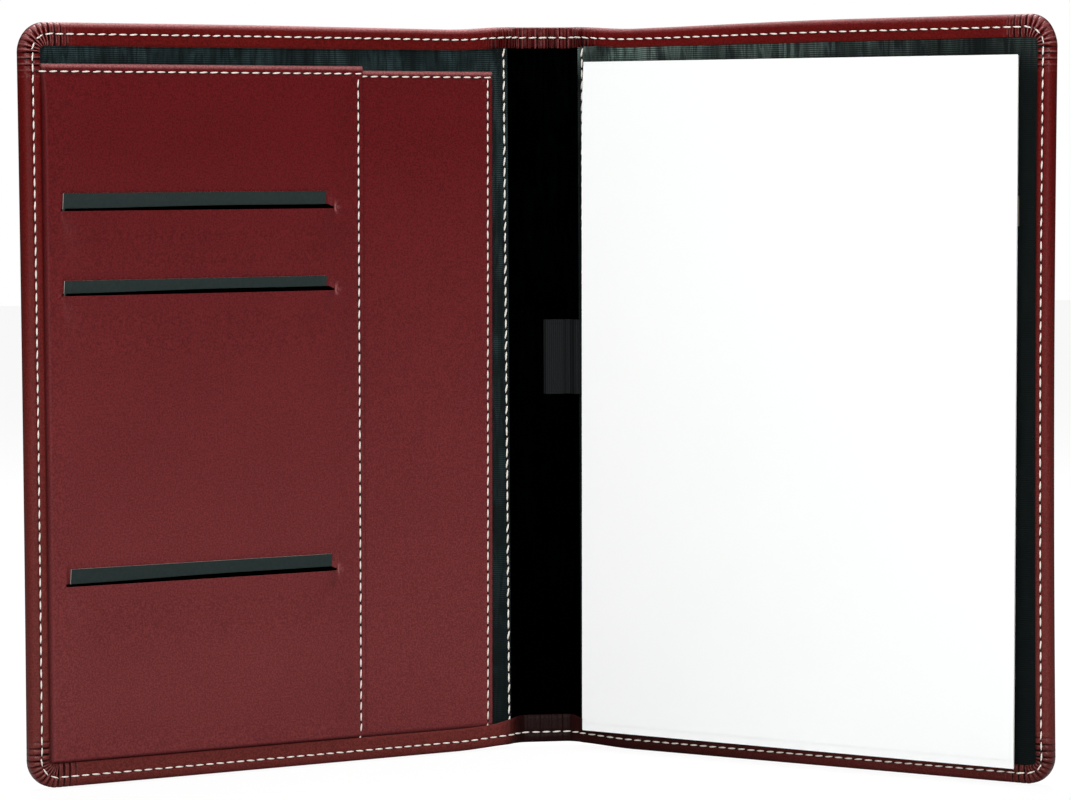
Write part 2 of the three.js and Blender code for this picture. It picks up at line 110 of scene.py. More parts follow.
SHARP = math.radians(50)


def smooth(t):
    t = np.clip(t, 0.0, 1.0)
    return t * t * (3.0 - 2.0 * t)


def mix(a, b, t):
    return a + (b - a) * t


class Fold:
    """The folio laid out flat and bent at its two hinge lines.

    x runs across the folio from the middle of the spine, negative over the front cover,
    h is the height above the leather's inner face and v the height up the cover, in millimetres."""

    reach = 6.0

    def __init__(self, joints):
        hinges = {joint["name"]: joint for joint in joints}
        self.front = np.array(hinges["front_hinge"]["pos_m"][:2]) / MM
        self.back = np.array(hinges["back_hinge"]["pos_m"][:2]) / MM
        span = self.back - self.front
        self.half = float(np.hypot(*span)) / 2
        self.middle = (self.front + self.back) / 2
        self.along = math.atan2(span[1], span[0])
        self.front_bend = math.radians(-hinges["front_hinge"]["range_deg"][0])
        self.back_bend = math.radians(hinges["back_hinge"]["range_deg"][1])

    def arc(self, hinge, bend, away, side):
        """Centre and radius of the soft bend at a hinge line. away is how far x is past it."""
        radius = self.reach / math.tan(bend / 2)
        turn = bend * np.clip((away + self.reach) / (2 * self.reach), 0, 1)
        start = hinge - side * self.reach * self.direction(self.along)
        centre = start + radius * self.direction(self.along - math.pi / 2)
        angle = self.along - math.pi / 2 - side * turn
        return centre, radius, angle

    @staticmethod
    def direction(angle):
        return np.stack([np.cos(angle), np.sin(angle)], -1)

    def place(self, x, h, v):
        """Points in metres, in the row's frame."""
        x, h, v = (np.asarray(a, float) for a in np.broadcast_arrays(x, h, v))
        flat = self.middle + x[..., None] * self.direction(self.along)
        flat = flat + h[..., None] * self.direction(self.along - math.pi / 2)
        for hinge, bend, side in ((self.front, self.front_bend, -1), (self.back, self.back_bend, 1)):
            away = side * x - self.half
            centre, radius, angle = self.arc(hinge, bend, away, side)
            normal = self.direction(angle)
            beyond = np.maximum(away - self.reach, 0)[..., None]
            tangent = side * self.direction(angle + math.pi / 2)
            bent = centre + normal * (h - radius)[..., None] + tangent * beyond
            flat = np.where((away > -self.reach)[..., None], bent, flat)
        return np.concatenate([flat, v[..., None]], -1) * MM

    def blend_ends(self, side):
        """Where a piece leaves the cover and where it meets the spine."""
        at = [side * (self.half + self.reach), side * (self.half - self.reach)]
        return [tuple(self.place(x, 0, 0)) for x in at]


FOLD = Fold(frame["joints"])


def on_cover(side, u, h, v):
    """A point given by its distance from the hinge line, on the front (-1) or the back (1) cover."""
    return FOLD.place(side * (np.asarray(u, float) + FOLD.half), h, v)


def add_node(tree, kind, inputs=None, **settings):
    """A node with its settings, and with values or links at its inputs."""
    made = tree.nodes.new(kind)
    for name, value in settings.items():
        setattr(made, name, value)
    for name, value in (inputs or {}).items():
        if isinstance(value, Term):
            value = value.socket
        if isinstance(value, bpy.types.NodeSocket):
            tree.links.new(value, made.inputs[name])
        else:
            made.inputs[name].default_value = value
    return made


def scaled(colour, factor):
    return tuple(c * factor for c in colour)


class Term:
    """A number on a surface, so that shader maths reads as ordinary expressions."""

    def __init__(self, finish, socket):
        self.finish = finish
        self.socket = socket

    def __add__(self, other):
        return self.finish.math("ADD", self, other)

    def __sub__(self, other):
        return self.finish.math("SUBTRACT", self, other)

    def __rsub__(self, other):
        return self.finish.math("SUBTRACT", other, self)

    def __mul__(self, other):
        return self.finish.math("MULTIPLY", self, other)

    __radd__ = __add__
    __rmul__ = __mul__


class Finish:
    """One material and the nodes that make it."""

    def __init__(self, name):
        self.material = bpy.data.materials.new(name)
        self.material.use_nodes = True
        self.tree = self.material.node_tree
        self.tree.nodes.clear()

    def node(self, kind, inputs=None, **settings):
        return add_node(self.tree, kind, inputs, **settings)

    def term(self, kind, output, inputs=None, **settings):
        return Term(self, self.node(kind, inputs, **settings).outputs[output])

    def math(self, operation, a, b=0.0):
        return self.term("ShaderNodeMath", 0, {0: a, 1: b}, operation=operation)

    def position(self, turn=0.0, stretch=(1.0, 1.0, 1.0)):
        """Object coordinates in millimetres, turned about Z so that X runs along a cover."""
        where = self.node("ShaderNodeTexCoord").outputs["Object"]
        inputs = {"Vector": where, "Angle": -turn}
        turned = self.node("ShaderNodeVectorRotate", inputs, rotation_type="Z_AXIS")
        inputs = {0: turned.outputs[0], 1: [s / MM for s in stretch]}
        return self.node("ShaderNodeVectorMath", inputs, operation="MULTIPLY").outputs[0]

    def noise(self, where, size, detail=2.0, roughness=0.5, distortion=0.0):
        return self.term("ShaderNodeTexNoise", "Fac", {"Vector": where, "Scale": 1.0 / size, "Detail": detail,
                                                       "Roughness": roughness, "Distortion": distortion})

    def cells(self, where, size):
        inputs = {"Vector": where, "Scale": 1.0 / size}
        return self.term("ShaderNodeTexVoronoi", "Distance", inputs, feature="DISTANCE_TO_EDGE")

    def ramp(self, value, *stops):
        """A value through a ramp of (position, shade) stops."""
        made = self.node("ShaderNodeValToRGB", {"Fac": value})
        elements = made.color_ramp.elements
        while len(elements) < len(stops):
            elements.new(1.0)
        for element, (position, shade) in zip(elements, stops):
            element.position = position
            element.color = (shade, shade, shade, 1.0)
        return Term(self, made.outputs["Color"])

    def colours(self, factor, dark, light):
        return self.mixed(factor, (*dark, 1.0), (*light, 1.0))

    def mixed(self, factor, dark, light):
        return self.node("ShaderNodeMix", {0: factor, 6: dark, 7: light}, data_type="RGBA").outputs[2]

    def attribute(self, name):
        return self.term("ShaderNodeAttribute", "Fac", attribute_name=name, attribute_type="GEOMETRY")

    def component(self, where, axis):
        return self.term("ShaderNodeSeparateXYZ", axis, {0: where})

    def finish(self, colour, roughness, height, strength=0.3, depth=0.0002, **fixed):
        bump = self.node("ShaderNodeBump", {"Height": height, "Strength": strength, "Distance": depth})
        inputs = {"Base Color": colour, "Roughness": roughness, "Normal": bump.outputs[0]}
        for name, value in fixed.items():
            inputs[name.replace("_", " ").title().replace("Ior", "IOR")] = value
        shader = self.node("ShaderNodeBsdfPrincipled", inputs)
        self.node("ShaderNodeOutputMaterial", {"Surface": shader.outputs[0]})
        return self.material


def linear(colour):
    """A screen colour, 0 to 255, as the linear colour that a shader takes."""
    return tuple(((c / 255 + 0.055) / 1.055) ** 2.4 if c > 10 else c / 255 / 12.92 for c in colour)


# Colour of the painted highlights along the top edges, on the folds' crests and at the slots' ends.
PAINTED_HIGHLIGHT = linear((176, 112, 112))
# Painted light from the white floor: what each leather's colour gains towards its foot.
COVER_FOOT_LIGHT = (0.02, 0.016, 0.014)
PANEL_FOOT_LIGHT = (0.044, 0.019, 0.019)


def leather_finish(name, colour, turn, fade):
    """Smooth grained leather. fade is the painted light from the white floor that it gains towards the foot.
    """
    f = Finish(name)
    where = f.position(turn)
    cloud = f.noise(where, 30.0, 3.0)
    pores = f.cells(where, 0.9)
    speckle = f.ramp(f.noise(where, 0.5, 2.0, 0.7), (0.4, 0.0), (0.6, 1.0))
    creases = f.noise(where, 1.7, 4.0, 0.6)
    low = f.ramp(1.0 - f.component(where, 2) * (1.0 / COVER_HEIGHT), (0.15, 0.0), (0.85, 1.0))
    # Painted light from the white floor: the colour grows paler towards the foot.
    worn = tuple(c + gain for c, gain in zip(colour, fade))
    shade = cloud * 0.3 + speckle * 0.7
    dark = f.colours(low, scaled(colour, 0.62), scaled(worn, 0.68))
    light = f.colours(low, scaled(colour, 1.42), scaled(worn, 1.36))
    # Painted highlight: the colour turns pale pink where the points' highlight mark says.
    painted_highlight = f.attribute("painted_highlight") * (speckle * 0.5 + 0.5)
    colour = f.mixed(painted_highlight, f.mixed(shade, dark, light), (*PAINTED_HIGHLIGHT, 1.0))
    # Painted shade: the colour darkens to deep brown where the points' shade mark says, in folds, along the
    # foot and by the border.
    colour = f.mixed(f.attribute("painted_shade"), colour, (*scaled(worn, 0.06), 1.0))
    coat = f.attribute("polish") * 0.35 + 0.01
    roughness = 0.42 + creases * 0.12 + speckle * 0.06
    height = f.ramp(pores, (0.0, 0.0), (0.35, 1.0)) * 0.4 + creases * 0.6 + speckle * 0.4
    return f.finish(colour, roughness, height, 0.3, 0.0002, specular_ior_level=0.075, coat_roughness=0.25,
                    coat_weight=coat)


def lining_finish(name, turn, base, light, specular=0.12, glow=1.0, outer=1.0):
    """Ribbed cloth with a watered sheen.

    glow is how much paler it is painted along the top, as painted light, and outer what is left of its
    brightness at the outer edge, as painted shade; it is also painted darker towards the foot."""
    f = Finish(name)
    where = f.position(turn)
    up = f.component(where, 2)
    across = f.component(where, 0)
    wander = f.noise(f.position(turn, (1.0, 1.0, 0.1)), 9.0, 2.0)
    rib = f.math("SINE", (up + wander * 0.5) * (2 * math.pi / 0.62))
    thread = f.math("SINE", across * (2 * math.pi / 0.35))
    streaks = f.noise(f.position(turn, (1.0, 1.0, 0.12)), 2.4, 3.0, 0.65, 1.4)
    watered = f.ramp(streaks, (0.4, 0.0), (0.62, 1.0))
    plain = 1.0 / glow
    # Painted light along the top, and painted shade towards the foot and, by outer, at the outer edge.
    high = f.ramp(up * (1.0 / COVER_HEIGHT), (0.0, 0.3 * plain), (0.8, plain), (0.93, plain), (0.97, 1.0))
    beyond = f.ramp(across * (1.0 / COVER_WIDTH), (0.25, 1.0), (0.7, outer))
    blotches = f.ramp(f.noise(where, 12.0, 2.0), (0.4, 0.0), (0.55, 1.0))
    shade = (rib * 0.45 + 0.55) * (0.2 + watered * 0.8) * high * beyond * (blotches * 0.6 + 0.4)
    height = rib * 0.5 + thread * 0.12
    return f.finish(f.colours(shade, base, light), 0.55 + watered * 0.14, height, 0.35, 0.00012,
                    specular_ior_level=specular)


def card_finish(name, base):
    f = Finish(name)
    where = f.position()
    fleck = f.ramp(f.noise(where, 1.1, 5.0, 0.7), (0.35, 0.0), (0.75, 1.0))
    light = tuple(c * 1.35 + 0.004 for c in base)
    return f.finish(f.colours(fleck, base, light), 0.55 + fleck * 0.1, fleck, 0.1, 0.00005,
                    specular_ior_level=0.2)


SHEET = (0.6, 4.0, 0.6)
SHEET_EDGES = (0.25, 2.0)


def paper_finish(name, colour, grain=SHEET):
    f = Finish(name)
    fibres = f.noise(f.position(), *grain)
    cloud = f.noise(f.position(), 60.0, 2.0)
    shade = f.colours(cloud, scaled(colour, 0.975), colour)
    return f.finish(shade, 0.8 + fibres * 0.1, fibres, 0.05, 0.00005)


def elastic_finish(name, turn, base, light):
    f = Finish(name)
    where = f.position(turn)
    across = f.component(where, 0)
    up = f.component(where, 2)
    rib = f.math("SINE", across * (2 * math.pi / 0.66)) * 0.5 + 0.5
    knit = f.math("SINE", up * (2 * math.pi / 0.45)) * 0.5 + 0.5
    shade = rib * 0.7 + knit * 0.3
    return f.finish(f.colours(shade, base, light), 0.75 + knit * 0.1, shade, 0.5, 0.0002,
                    specular_ior_level=0.15)


def fibre_finish(name, colour, grain, roughness, strength, **fixed):
    """A matt material with one grain, given as the size, detail and roughness of its noise."""
    f = Finish(name)
    fibre = f.noise(f.position(), *grain)
    shade = f.colours(fibre, scaled(colour, 0.8), colour)
    return f.finish(shade, fibre * 0.1 + roughness, fibre, strength, 0.0001, **fixed)


def board_finish(name, colour, size):
    return fibre_finish(name, colour, (size, 4.0, 0.65), 0.85, 0.2)


def millimetres(name, size, description):
    return FloatProperty(name=name, description=description, default=size * MM, unit="LENGTH")


def tint(name, colour, description):
    return FloatVectorProperty(name=name, description=description, subtype="COLOR", default=linear(colour))


class FolioSizes(bpy.types.PropertyGroup):
    front_top: millimetres("Front Top", 6.5, "Border at the top")
    front_side: millimetres("Front Side", 5.9, "Border at the side")
    front_foot: millimetres("Front Foot", 7.3, "Border at the foot")
    back_top: millimetres("Back Top", 5.7, "Border at the top")
    back_side: millimetres("Back Side", 4.9, "Border at the side")
    back_foot: millimetres("Back Foot", 5.7, "Border at the foot")
    spine_top: millimetres("Spine Top", 6.6, "The spine's turned-in top")
    spine_foot: millimetres("Spine Foot", 8.8, "The spine's turned-in foot")
    spine_flap: millimetres("Spine Flap", SPINE_FLAP, "Height of the spine's leather")
    spine_lift: millimetres("Spine Lift", 0.8, "How far the spine hangs clear")
    edge_round: millimetres("Edge Round", 2.2, "Radius of the rolled edge")
    gathers: IntProperty(name="Corner Gathers", description="Folds fanned round a corner", default=7, min=3,
                         max=20)
    gather_depth: millimetres("Gather Depth", 2.0, "Depth of the folds")
    wrinkle: millimetres("Spine Wrinkle", 0.7, "Depth of its wrinkles")


class StitchSizes(bpy.types.PropertyGroup):
    pitch: millimetres("Pitch", 3.35, "From one stitch to the next")
    length: millimetres("Length", 2.7, "Length of thread that shows")
    thickness: millimetres("Thickness", 0.49, "Thickness of thread")
    inset: millimetres("Inset", STITCH_INSET, "From the edge to the seam")


class Finishes(bpy.types.PropertyGroup):
    leather: tint("Leather", (86, 13, 11), "Outer leather and border")
    panel: tint("Panel", (86, 17, 20), "Leather of the pockets")
    thread: tint("Thread", (246, 239, 228), "Sewing thread")
    lining: tint("Lining", (22, 35, 35), "Ribbed lining")
    card: tint("Card", (25, 37, 35), "Cards in the slots")
    paper: tint("Paper", (250, 253, 252), "Sheets of the pad")


def link(thing):
    bpy.context.scene.collection.objects.link(thing)
    return thing


def add_marks(piece, marks):
    """Numbers on a mesh's points that its material reads, by name."""
    for label, values in marks.items():
        mark = piece.data.attributes.new(label, "FLOAT", "POINT")
        mark.data.foreach_set("value", values)


def new_piece(name, points, faces, materials, shading=True):
    """A mesh piece from points in metres."""
    mesh = bpy.data.meshes.new(name)
    mesh.from_pydata([tuple(p) for p in np.asarray(points).reshape(-1, 3)], [], faces)
    mesh.validate()
    for material in materials:
        mesh.materials.append(material)
    if shading:
        mesh.shade_smooth()
    return link(bpy.data.objects.new(name, mesh))


def plain_mesh(thing):
    """The mesh that an object's modifiers make."""
    bpy.context.view_layer.update()
    return bpy.data.meshes.new_from_object(thing.evaluated_get(bpy.context.evaluated_depsgraph_get()))


def thicken(piece, thickness):
    modifier = piece.modifiers.new("Wall", "SOLIDIFY")
    modifier.thickness = thickness * MM
    modifier.offset = -1.0
    mesh = plain_mesh(piece)
    piece.modifiers.clear()
    piece.data = mesh
    mesh.set_sharp_from_angle(angle=SHARP)
    return piece


def grid_faces(rows, columns, keep=None, flip=False):
    faces = []
    for i in range(rows - 1):
        for j in range(columns - 1):
            if keep is None or keep[i, j]:
                a = i * columns + j
                quad = [a, a + columns, a + columns + 1, a + 1]
                faces.append(quad[::-1] if flip else quad)
    return faces


def reversed_copy(faces, shift):
    """The same faces turned over, on points further down the list."""
    return [[index + shift for index in face[::-1]] for face in faces]


def closed_sheet(name, us, vs, front, back, side, materials, keep=None, corner=None, marks=None):
    """A closed sheet on a cover.

    front and back are heights over a grid of u and v, keep says where there is a face, corner moves
    the points and marks are its attributes."""
    u, v = np.meshgrid(us, vs, indexing="ij")
    pu, pv = (u, v) if corner is None else corner(u, v)
    points = [on_cover(side, pu, height(u, v), pv) for height in (front, back)]
    rows, columns = u.shape
    padded = np.zeros((rows + 1, columns + 1), bool)
    middle_u, middle_v = ((grid[:-1, :-1] + grid[1:, 1:]) / 2 for grid in (u, v))
    padded[1:-1, 1:-1] = True if keep is None else keep(middle_u, middle_v)
    flip = side > 0
    faces = grid_faces(rows, columns, padded[1:-1, 1:-1], flip)
    count = rows * columns
    faces += reversed_copy(faces, count)
    for i, j in zip(*np.nonzero(padded)):
        a = int((i - 1) * columns + j - 1)
        ways = ((0, -1, columns, 0), (0, 1, 1, 1 + columns), (-1, 0, 0, 1), (1, 0, columns + 1, columns))
        for di, dj, start, end in ways:
            if not padded[i + di, j + dj]:
                quad = [a + start, a + end, a + end + count, a + start + count]
                faces.append(quad[::-1] if flip else quad)
    piece = new_piece(name, np.concatenate(points), faces, materials)
    add_marks(piece, {label: np.tile(amount(u, v).reshape(-1), 2) for label, amount in (marks or {}).items()})
    return piece


def lines(low, *stretches):
    """Grid lines from low on. Each stretch is (where it ends, spacing)."""
    found = []
    for high, spacing in stretches:
        found.extend(np.linspace(low, high, max(2, int(round((high - low) / spacing)) + 1)))
        low = high
    return np.unique(np.round(found, 3))


class LeatherCover:
    """The leather of one cover and its half of the spine, with its border turned in."""

    fan = 8.0

    def __init__(self, sizes, side, seed):
        self.side = side
        self.sizes = sizes
        name = "front" if side < 0 else "back"
        borders = (getattr(sizes, f"{name}_{edge}") / MM for edge in ("top", "side", "foot"))
        self.top, self.outer, self.foot = borders
        self.flap, self.bow = (FRONT_FLAP, 0.3) if side < 0 else (BACK_FLAP, 0.8)
        self.half = FOLD.half
        self.edge = COVER_WIDTH + self.half
        chance = random.Random(seed)
        self.wrinkles = [(chance.uniform(0.55, 1.9), chance.uniform(0, 6.3)) for _ in range(6)]
        count = sizes.gathers * 2
        self.folds = [chance.uniform(0.6, 1.0) for _ in range(count + 2)]
        self.slips = [chance.uniform(-0.22, 0.22) for _ in range(count + 2)]

    def stations(self):
        """Points along the outer edge: x, v, inward x, inward v and the turn round a corner, if any."""
        found = []
        centre = self.edge - CORNER_RADIUS
        along = lines(0.0, (36.0, 0.3), (centre - self.fan, 2.0), (centre, 0.2))
        turns = np.linspace(0, 1, self.sizes.gathers * 14 + 1)
        low, high = CORNER_RADIUS, COVER_HEIGHT - CORNER_RADIUS
        sides = lines(low, (low + self.fan, 0.2), (high - self.fan, 2.5), (high, 0.2))
        found += [(x, COVER_HEIGHT, 0.0, -1.0, None) for x in along]
        for corner, middle in enumerate((high, low)):
            for t in turns[1:]:
                angle = math.pi / 2 * (1 - t - corner)
                cos, sin = math.cos(angle), math.sin(angle)
                x, v = centre + cos * CORNER_RADIUS, middle + sin * CORNER_RADIUS
                found.append((x, v, -cos, -sin, corner + t))
            if corner == 0:
                found += [(self.edge, v, -1.0, 0.0, None) for v in sides[::-1][1:]]
        return found + [(x, 0.0, 0.0, 1.0, None) for x in along[::-1][1:]]

    def width(self, x, v, turn):
        low = v < COVER_HEIGHT / 2
        if turn is not None:
            angle = math.pi / 2 * (1 - turn if turn <= 1 else turn - 1)
            across = (CORNER_RADIUS - self.outer) / max(math.cos(angle), 1e-6)
            along = (CORNER_RADIUS - (self.top if turn <= 1 else self.foot)) / max(math.sin(angle), 1e-6)
            return CORNER_RADIUS - (across ** -4 + along ** -4) ** -0.25
        if x > self.edge - 1e-6:
            return self.outer
        spine = (self.sizes.spine_foot if low else self.sizes.spine_top) / MM
        return mix(spine, self.foot if low else self.top, smooth((x - self.half + 3.0) / 14.0))

    def height(self, x):
        return mix(self.sizes.spine_flap / MM, self.flap, smooth((x - self.half + 4.5) / 8.0))

    def past_corner(self, x, v, inward):
        """How far a point of a straight edge is from the nearest corner's bend."""
        return (min(v, COVER_HEIGHT - v) if inward[1] == 0.0 else self.edge - x) - CORNER_RADIUS

    def gather(self, x, v, turn, inward):
        """How deep the leather dips, in folds at a corner or by the spine, and how near a fold's crest is."""
        depth = self.sizes.gather_depth / MM
        if turn is not None:
            local = (turn if turn <= 1 else turn - 1) * self.sizes.gathers
            k = min(int(local), self.sizes.gathers - 1) + (self.sizes.gathers if turn > 1 else 0)
            across = local - int(min(local, self.sizes.gathers - 1)) - 0.5
            crest = math.exp(-(((across - self.slips[k]) / 0.09) ** 2))
            across = (across - self.slips[k] * (0.25 - across * across)) * 2
            return depth * self.folds[k] * abs(across) ** 3.2, crest
        away = self.past_corner(x, v, inward)
        fade = max(0.0, 1 - away / self.fan)
        across = away / 1.9 % 1.0 - 0.5
        fold = depth * 0.7 * fade * abs(2 * across) ** 4.0
        crest = fade * math.exp(-(((across - 0.25) / 0.1) ** 2))
        if inward[1] == 0.0:
            return fold, crest
        near = smooth((self.half + 15.0 - x) / 14.0)
        waves = [math.sin(x * 2 * math.pi / period + phase) for period, phase in self.wrinkles]
        low = 0.2 if v < COVER_HEIGHT / 2 else 1.0
        return fold + (0.5 + 1.3 * sum(waves) / len(waves)) * near * low * self.sizes.wrinkle / MM, crest

    def section(self, width, flap, dip):
        """Points from the back face round the edge to the border's inner lip."""
        r = min(self.sizes.edge_round / MM, (flap + LEATHER) / 2)
        stitch = min(STITCH_INSET, width * 0.6)
        points = [(CORNER_RADIUS, -LEATHER, 0.0), (5.0, -LEATHER, 0.0)]
        for k in range(6):
            angle = math.pi * 1.5 - math.pi / 2 * k / 5
            points.append((r + r * math.cos(angle), r - LEATHER + r * math.sin(angle), 0.1 * k / 5))
        for k in range(1, 7):
            angle = math.pi - math.pi / 2 * k / 6
            points.append((r + r * math.cos(angle), flap - r + r * math.sin(angle), 0.1 + 0.55 * k / 6))
        for k in range(1, 15):
            n = r + (width - r) * k / 14
            groove = 0.25 * math.exp(-(((n - stitch) / 0.5) ** 2))
            puff = 0.15 * math.sin(math.pi * min(1.0, (n - r) / max(0.1, stitch - r)))
            lip = 0.4 * smooth((n - width + 0.8) / 0.8) ** 2
            points.append((n, flap - groove + puff - lip, 0.65 + 0.35 * min(1.0, k / 6)))
        return [(n + dip * 0.2 * min(share, 0.5), h - dip * share) for n, h, share in points]

    def shadow(self, x, v):
        """Painted shade at the foot: darkest at the spine, and the whole way under the pad."""
        if v > 12:
            return 0.0
        near = 0.975 * smooth((self.half + 9.0 - x) / 12.0)
        return near if self.side < 0 else max(near, mix(0.88, 0.3, smooth((x - self.half) / 120.0)))

    def shaped(self, x, v):
        """Where the edge's line really runs: bowed in at the side, lifted at the spine."""
        lift = self.sizes.spine_lift / MM * smooth((self.half + 22.0 - x) / 22.0)
        if v > COVER_HEIGHT / 2:
            puffed = (0.5 if self.side < 0 else 1.2) * smooth((x - self.half - 8.0) / 90.0)
            lift = lift * 1.3 + puffed * smooth((v - COVER_HEIGHT + 7.0) / 7.0)
        share = min(1.0, max(0.0, v / COVER_HEIGHT))
        bow = self.bow * math.sin(math.pi * share) * smooth((x - self.edge + 12) / 12)
        return x - bow, v + lift

    def build(self, name, materials):
        rings, marks = [], {"painted_shade": [], "polish": [], "painted_highlight": []}
        stations = self.stations()
        for x, v, inx, inv, turn in stations:
            dip, crest = self.gather(x, v, turn, (inx, inv))
            section = self.section(self.width(x, v, turn), self.height(x), dip)
            near = smooth((self.half + 6.0 - x) / 12.0) * (v > COVER_HEIGHT / 2)
            deep = mix(0.45, 0.8, near) if turn is None else self.sizes.gather_depth / MM * 0.55
            order = np.arange(len(section))
            inner = np.clip((order - 8) / (len(section) - 9), 0, 1)
            # Painted shade in the dips of the folds, which shadow() adds to along the foot.
            painted_shade = np.clip(dip / deep * (0.55 + 1.1 * inner) - 0.2, 0, 1)
            marks["painted_shade"].append(np.maximum(painted_shade, self.shadow(x, v)) * (order >= 7))
            fade = max(0.0, 1 - self.past_corner(x, v, (inx, inv)) / self.fan) if turn is None else 1.0
            marks["polish"].append(max(fade, 0.3 * near) * (1 - painted_shade))
            # Painted highlights: pale along the top roll, on the spine's wrinkle ridges and on the folds'
            # crests, strongest in the top half.
            roll = np.array([smooth(1 - (n - 0.2) / 1.6) * (h > self.flap / 2) for n, h in section])
            ridge = near * np.clip(1 - dip / 0.35, 0, 1) * 0.35
            pale = np.maximum(roll * (0.85 if self.side < 0 else 0.45), ridge) * max(0.0, -inv)
            marks["painted_highlight"].append(np.maximum(pale, crest * (0.8 if v > COVER_HEIGHT / 2 else 0.2)))
            rings.append([(*self.shaped(x + inx * n, v + inv * n), h) for n, h in section])
        rings = np.array(rings)
        count, size = rings.shape[:2]
        points = FOLD.place(self.side * rings[..., 0], rings[..., 2], rings[..., 1])
        faces = grid_faces(count, size, None, self.side > 0)
        straight = next(k for k, station in enumerate(stations) if station[4] is not None)
        top = list(range(straight))
        low = list(range(count - straight, count))[::-1]
        for a, b, c, d in zip(top[:-1], top[1:], low[1:], low[:-1]):
            quad = [a * size, d * size, c * size, b * size]
            faces.append(quad if self.side < 0 else quad[::-1])
        inner = [i * size for i in range(top[-1], low[-1] + 1)]
        faces.append(inner if self.side > 0 else inner[::-1])
        piece = new_piece(name, points, faces, materials)
        add_marks(piece, {label: np.concatenate(rows) for label, rows in marks.items()})
        merge(piece, 1e-6)
        return thicken(piece, 0.6)

    def seam(self, inset, lift, inside=True):
        """The stitched line round the border, on the inner or the outer face."""
        points = []
        for x, v, inx, inv, turn in self.stations():
            n = min(inset, 0.6 * self.width(x, v, turn))
            sag = 0.35 if turn is not None else min(self.gather(x, v, turn, (inx, inv))[0] * 0.8, 0.2)
            h = self.height(x) - sag + lift if inside else -LEATHER - lift
            points.append((*self.shaped(x + inx * n, v + inv * n), h))
        x, v, h = np.array(points).T
        return FOLD.place(self.side * x, h, v)


def merge(piece, distance):
    mesh = bmesh.new()
    mesh.from_mesh(piece.data)
    bmesh.ops.remove_doubles(mesh, verts=mesh.verts, dist=distance)
    bmesh.ops.recalc_face_normals(mesh, faces=mesh.faces)
    mesh.to_mesh(piece.data)
    mesh.free()


def stitch_tree():
    """Geometry Nodes: threads of one length, evenly spaced along a curve."""
    tree = bpy.data.node_groups.new("Running Stitch", "GeometryNodeTree")
    kinds = dict.fromkeys(("Pitch", "Length", "Thickness", "Slant", "Hole"), "Float")
    kinds = {"Geometry": "Geometry", **kinds, "Seed": "Int", "Thread": "Material", "Needle Hole": "Material"}
    for label, kind in kinds.items():
        tree.interface.new_socket(label, in_out="INPUT", socket_type="NodeSocket" + kind)
    tree.interface.new_socket("Geometry", in_out="OUTPUT", socket_type="NodeSocketGeometry")

    def add(kind, inputs=None, **settings):
        return add_node(tree, kind, inputs, **settings).outputs

    def times(value, factor):
        return add("ShaderNodeMath", {0: value, 1: factor}, operation="MULTIPLY")[0]

    def vector(x, y=0.0, z=0.0):
        return add("ShaderNodeCombineXYZ", {"X": x, "Y": y, "Z": z})[0]

    given = add("NodeGroupInput")
    pitch, thick, slant, across = (given[label] for label in ("Pitch", "Thickness", "Slant", "Hole"))
    spaced = add("GeometryNodeResampleCurve", {"Curve": given["Geometry"], "Length": pitch}, mode="LENGTH")
    along = add("FunctionNodeAlignRotationToVector", {"Vector": add("GeometryNodeInputTangent")[0]}, axis="X")
    wobble = add("FunctionNodeRandomValue", {2: times(slant, -0.1), 3: slant, "Seed": given["Seed"]},
                 data_type="FLOAT")
    tilt = add("FunctionNodeAxisAngleToRotation", {"Axis": (0.0, 1.0, 0.0), "Angle": wobble[1]})
    turned = add("FunctionNodeRotateRotation", {"Rotation": along[0], "Rotate By": tilt[0]},
                 rotation_space="LOCAL")
    ball = add("GeometryNodeMeshUVSphere", {"Segments": 8, "Rings": 7, "Radius": 0.5})
    size = vector(given["Length"], thick, thick)
    strand = add("GeometryNodeTransform", {"Geometry": ball[0], "Scale": size})
    # A dark dot at the needle hole between one stitch and the next, as painted shade.
    dot = add("GeometryNodeMeshUVSphere", {"Segments": 6, "Rings": 4, "Radius": 0.5})
    beside, spot = vector(times(pitch, 0.5)), vector(across, times(across, 0.5), across)
    hole = add("GeometryNodeTransform", {"Geometry": dot[0], "Translation": beside, "Scale": spot})
    stitch = tree.nodes.new("GeometryNodeJoinGeometry")
    for part, label in ((strand, "Thread"), (hole, "Needle Hole")):
        dyed = add("GeometryNodeSetMaterial", {"Geometry": part[0], "Material": given[label]})
        tree.links.new(dyed[0], stitch.inputs[0])
    placed = add("GeometryNodeInstanceOnPoints",
                 {"Points": spaced[0], "Instance": stitch.outputs[0], "Rotation": turned[0]})
    smoothed = add("GeometryNodeSetShadeSmooth", {"Geometry": placed[0]})
    add("NodeGroupOutput", {"Geometry": add("GeometryNodeRealizeInstances", {"Geometry": smoothed[0]})[0]})
    return tree


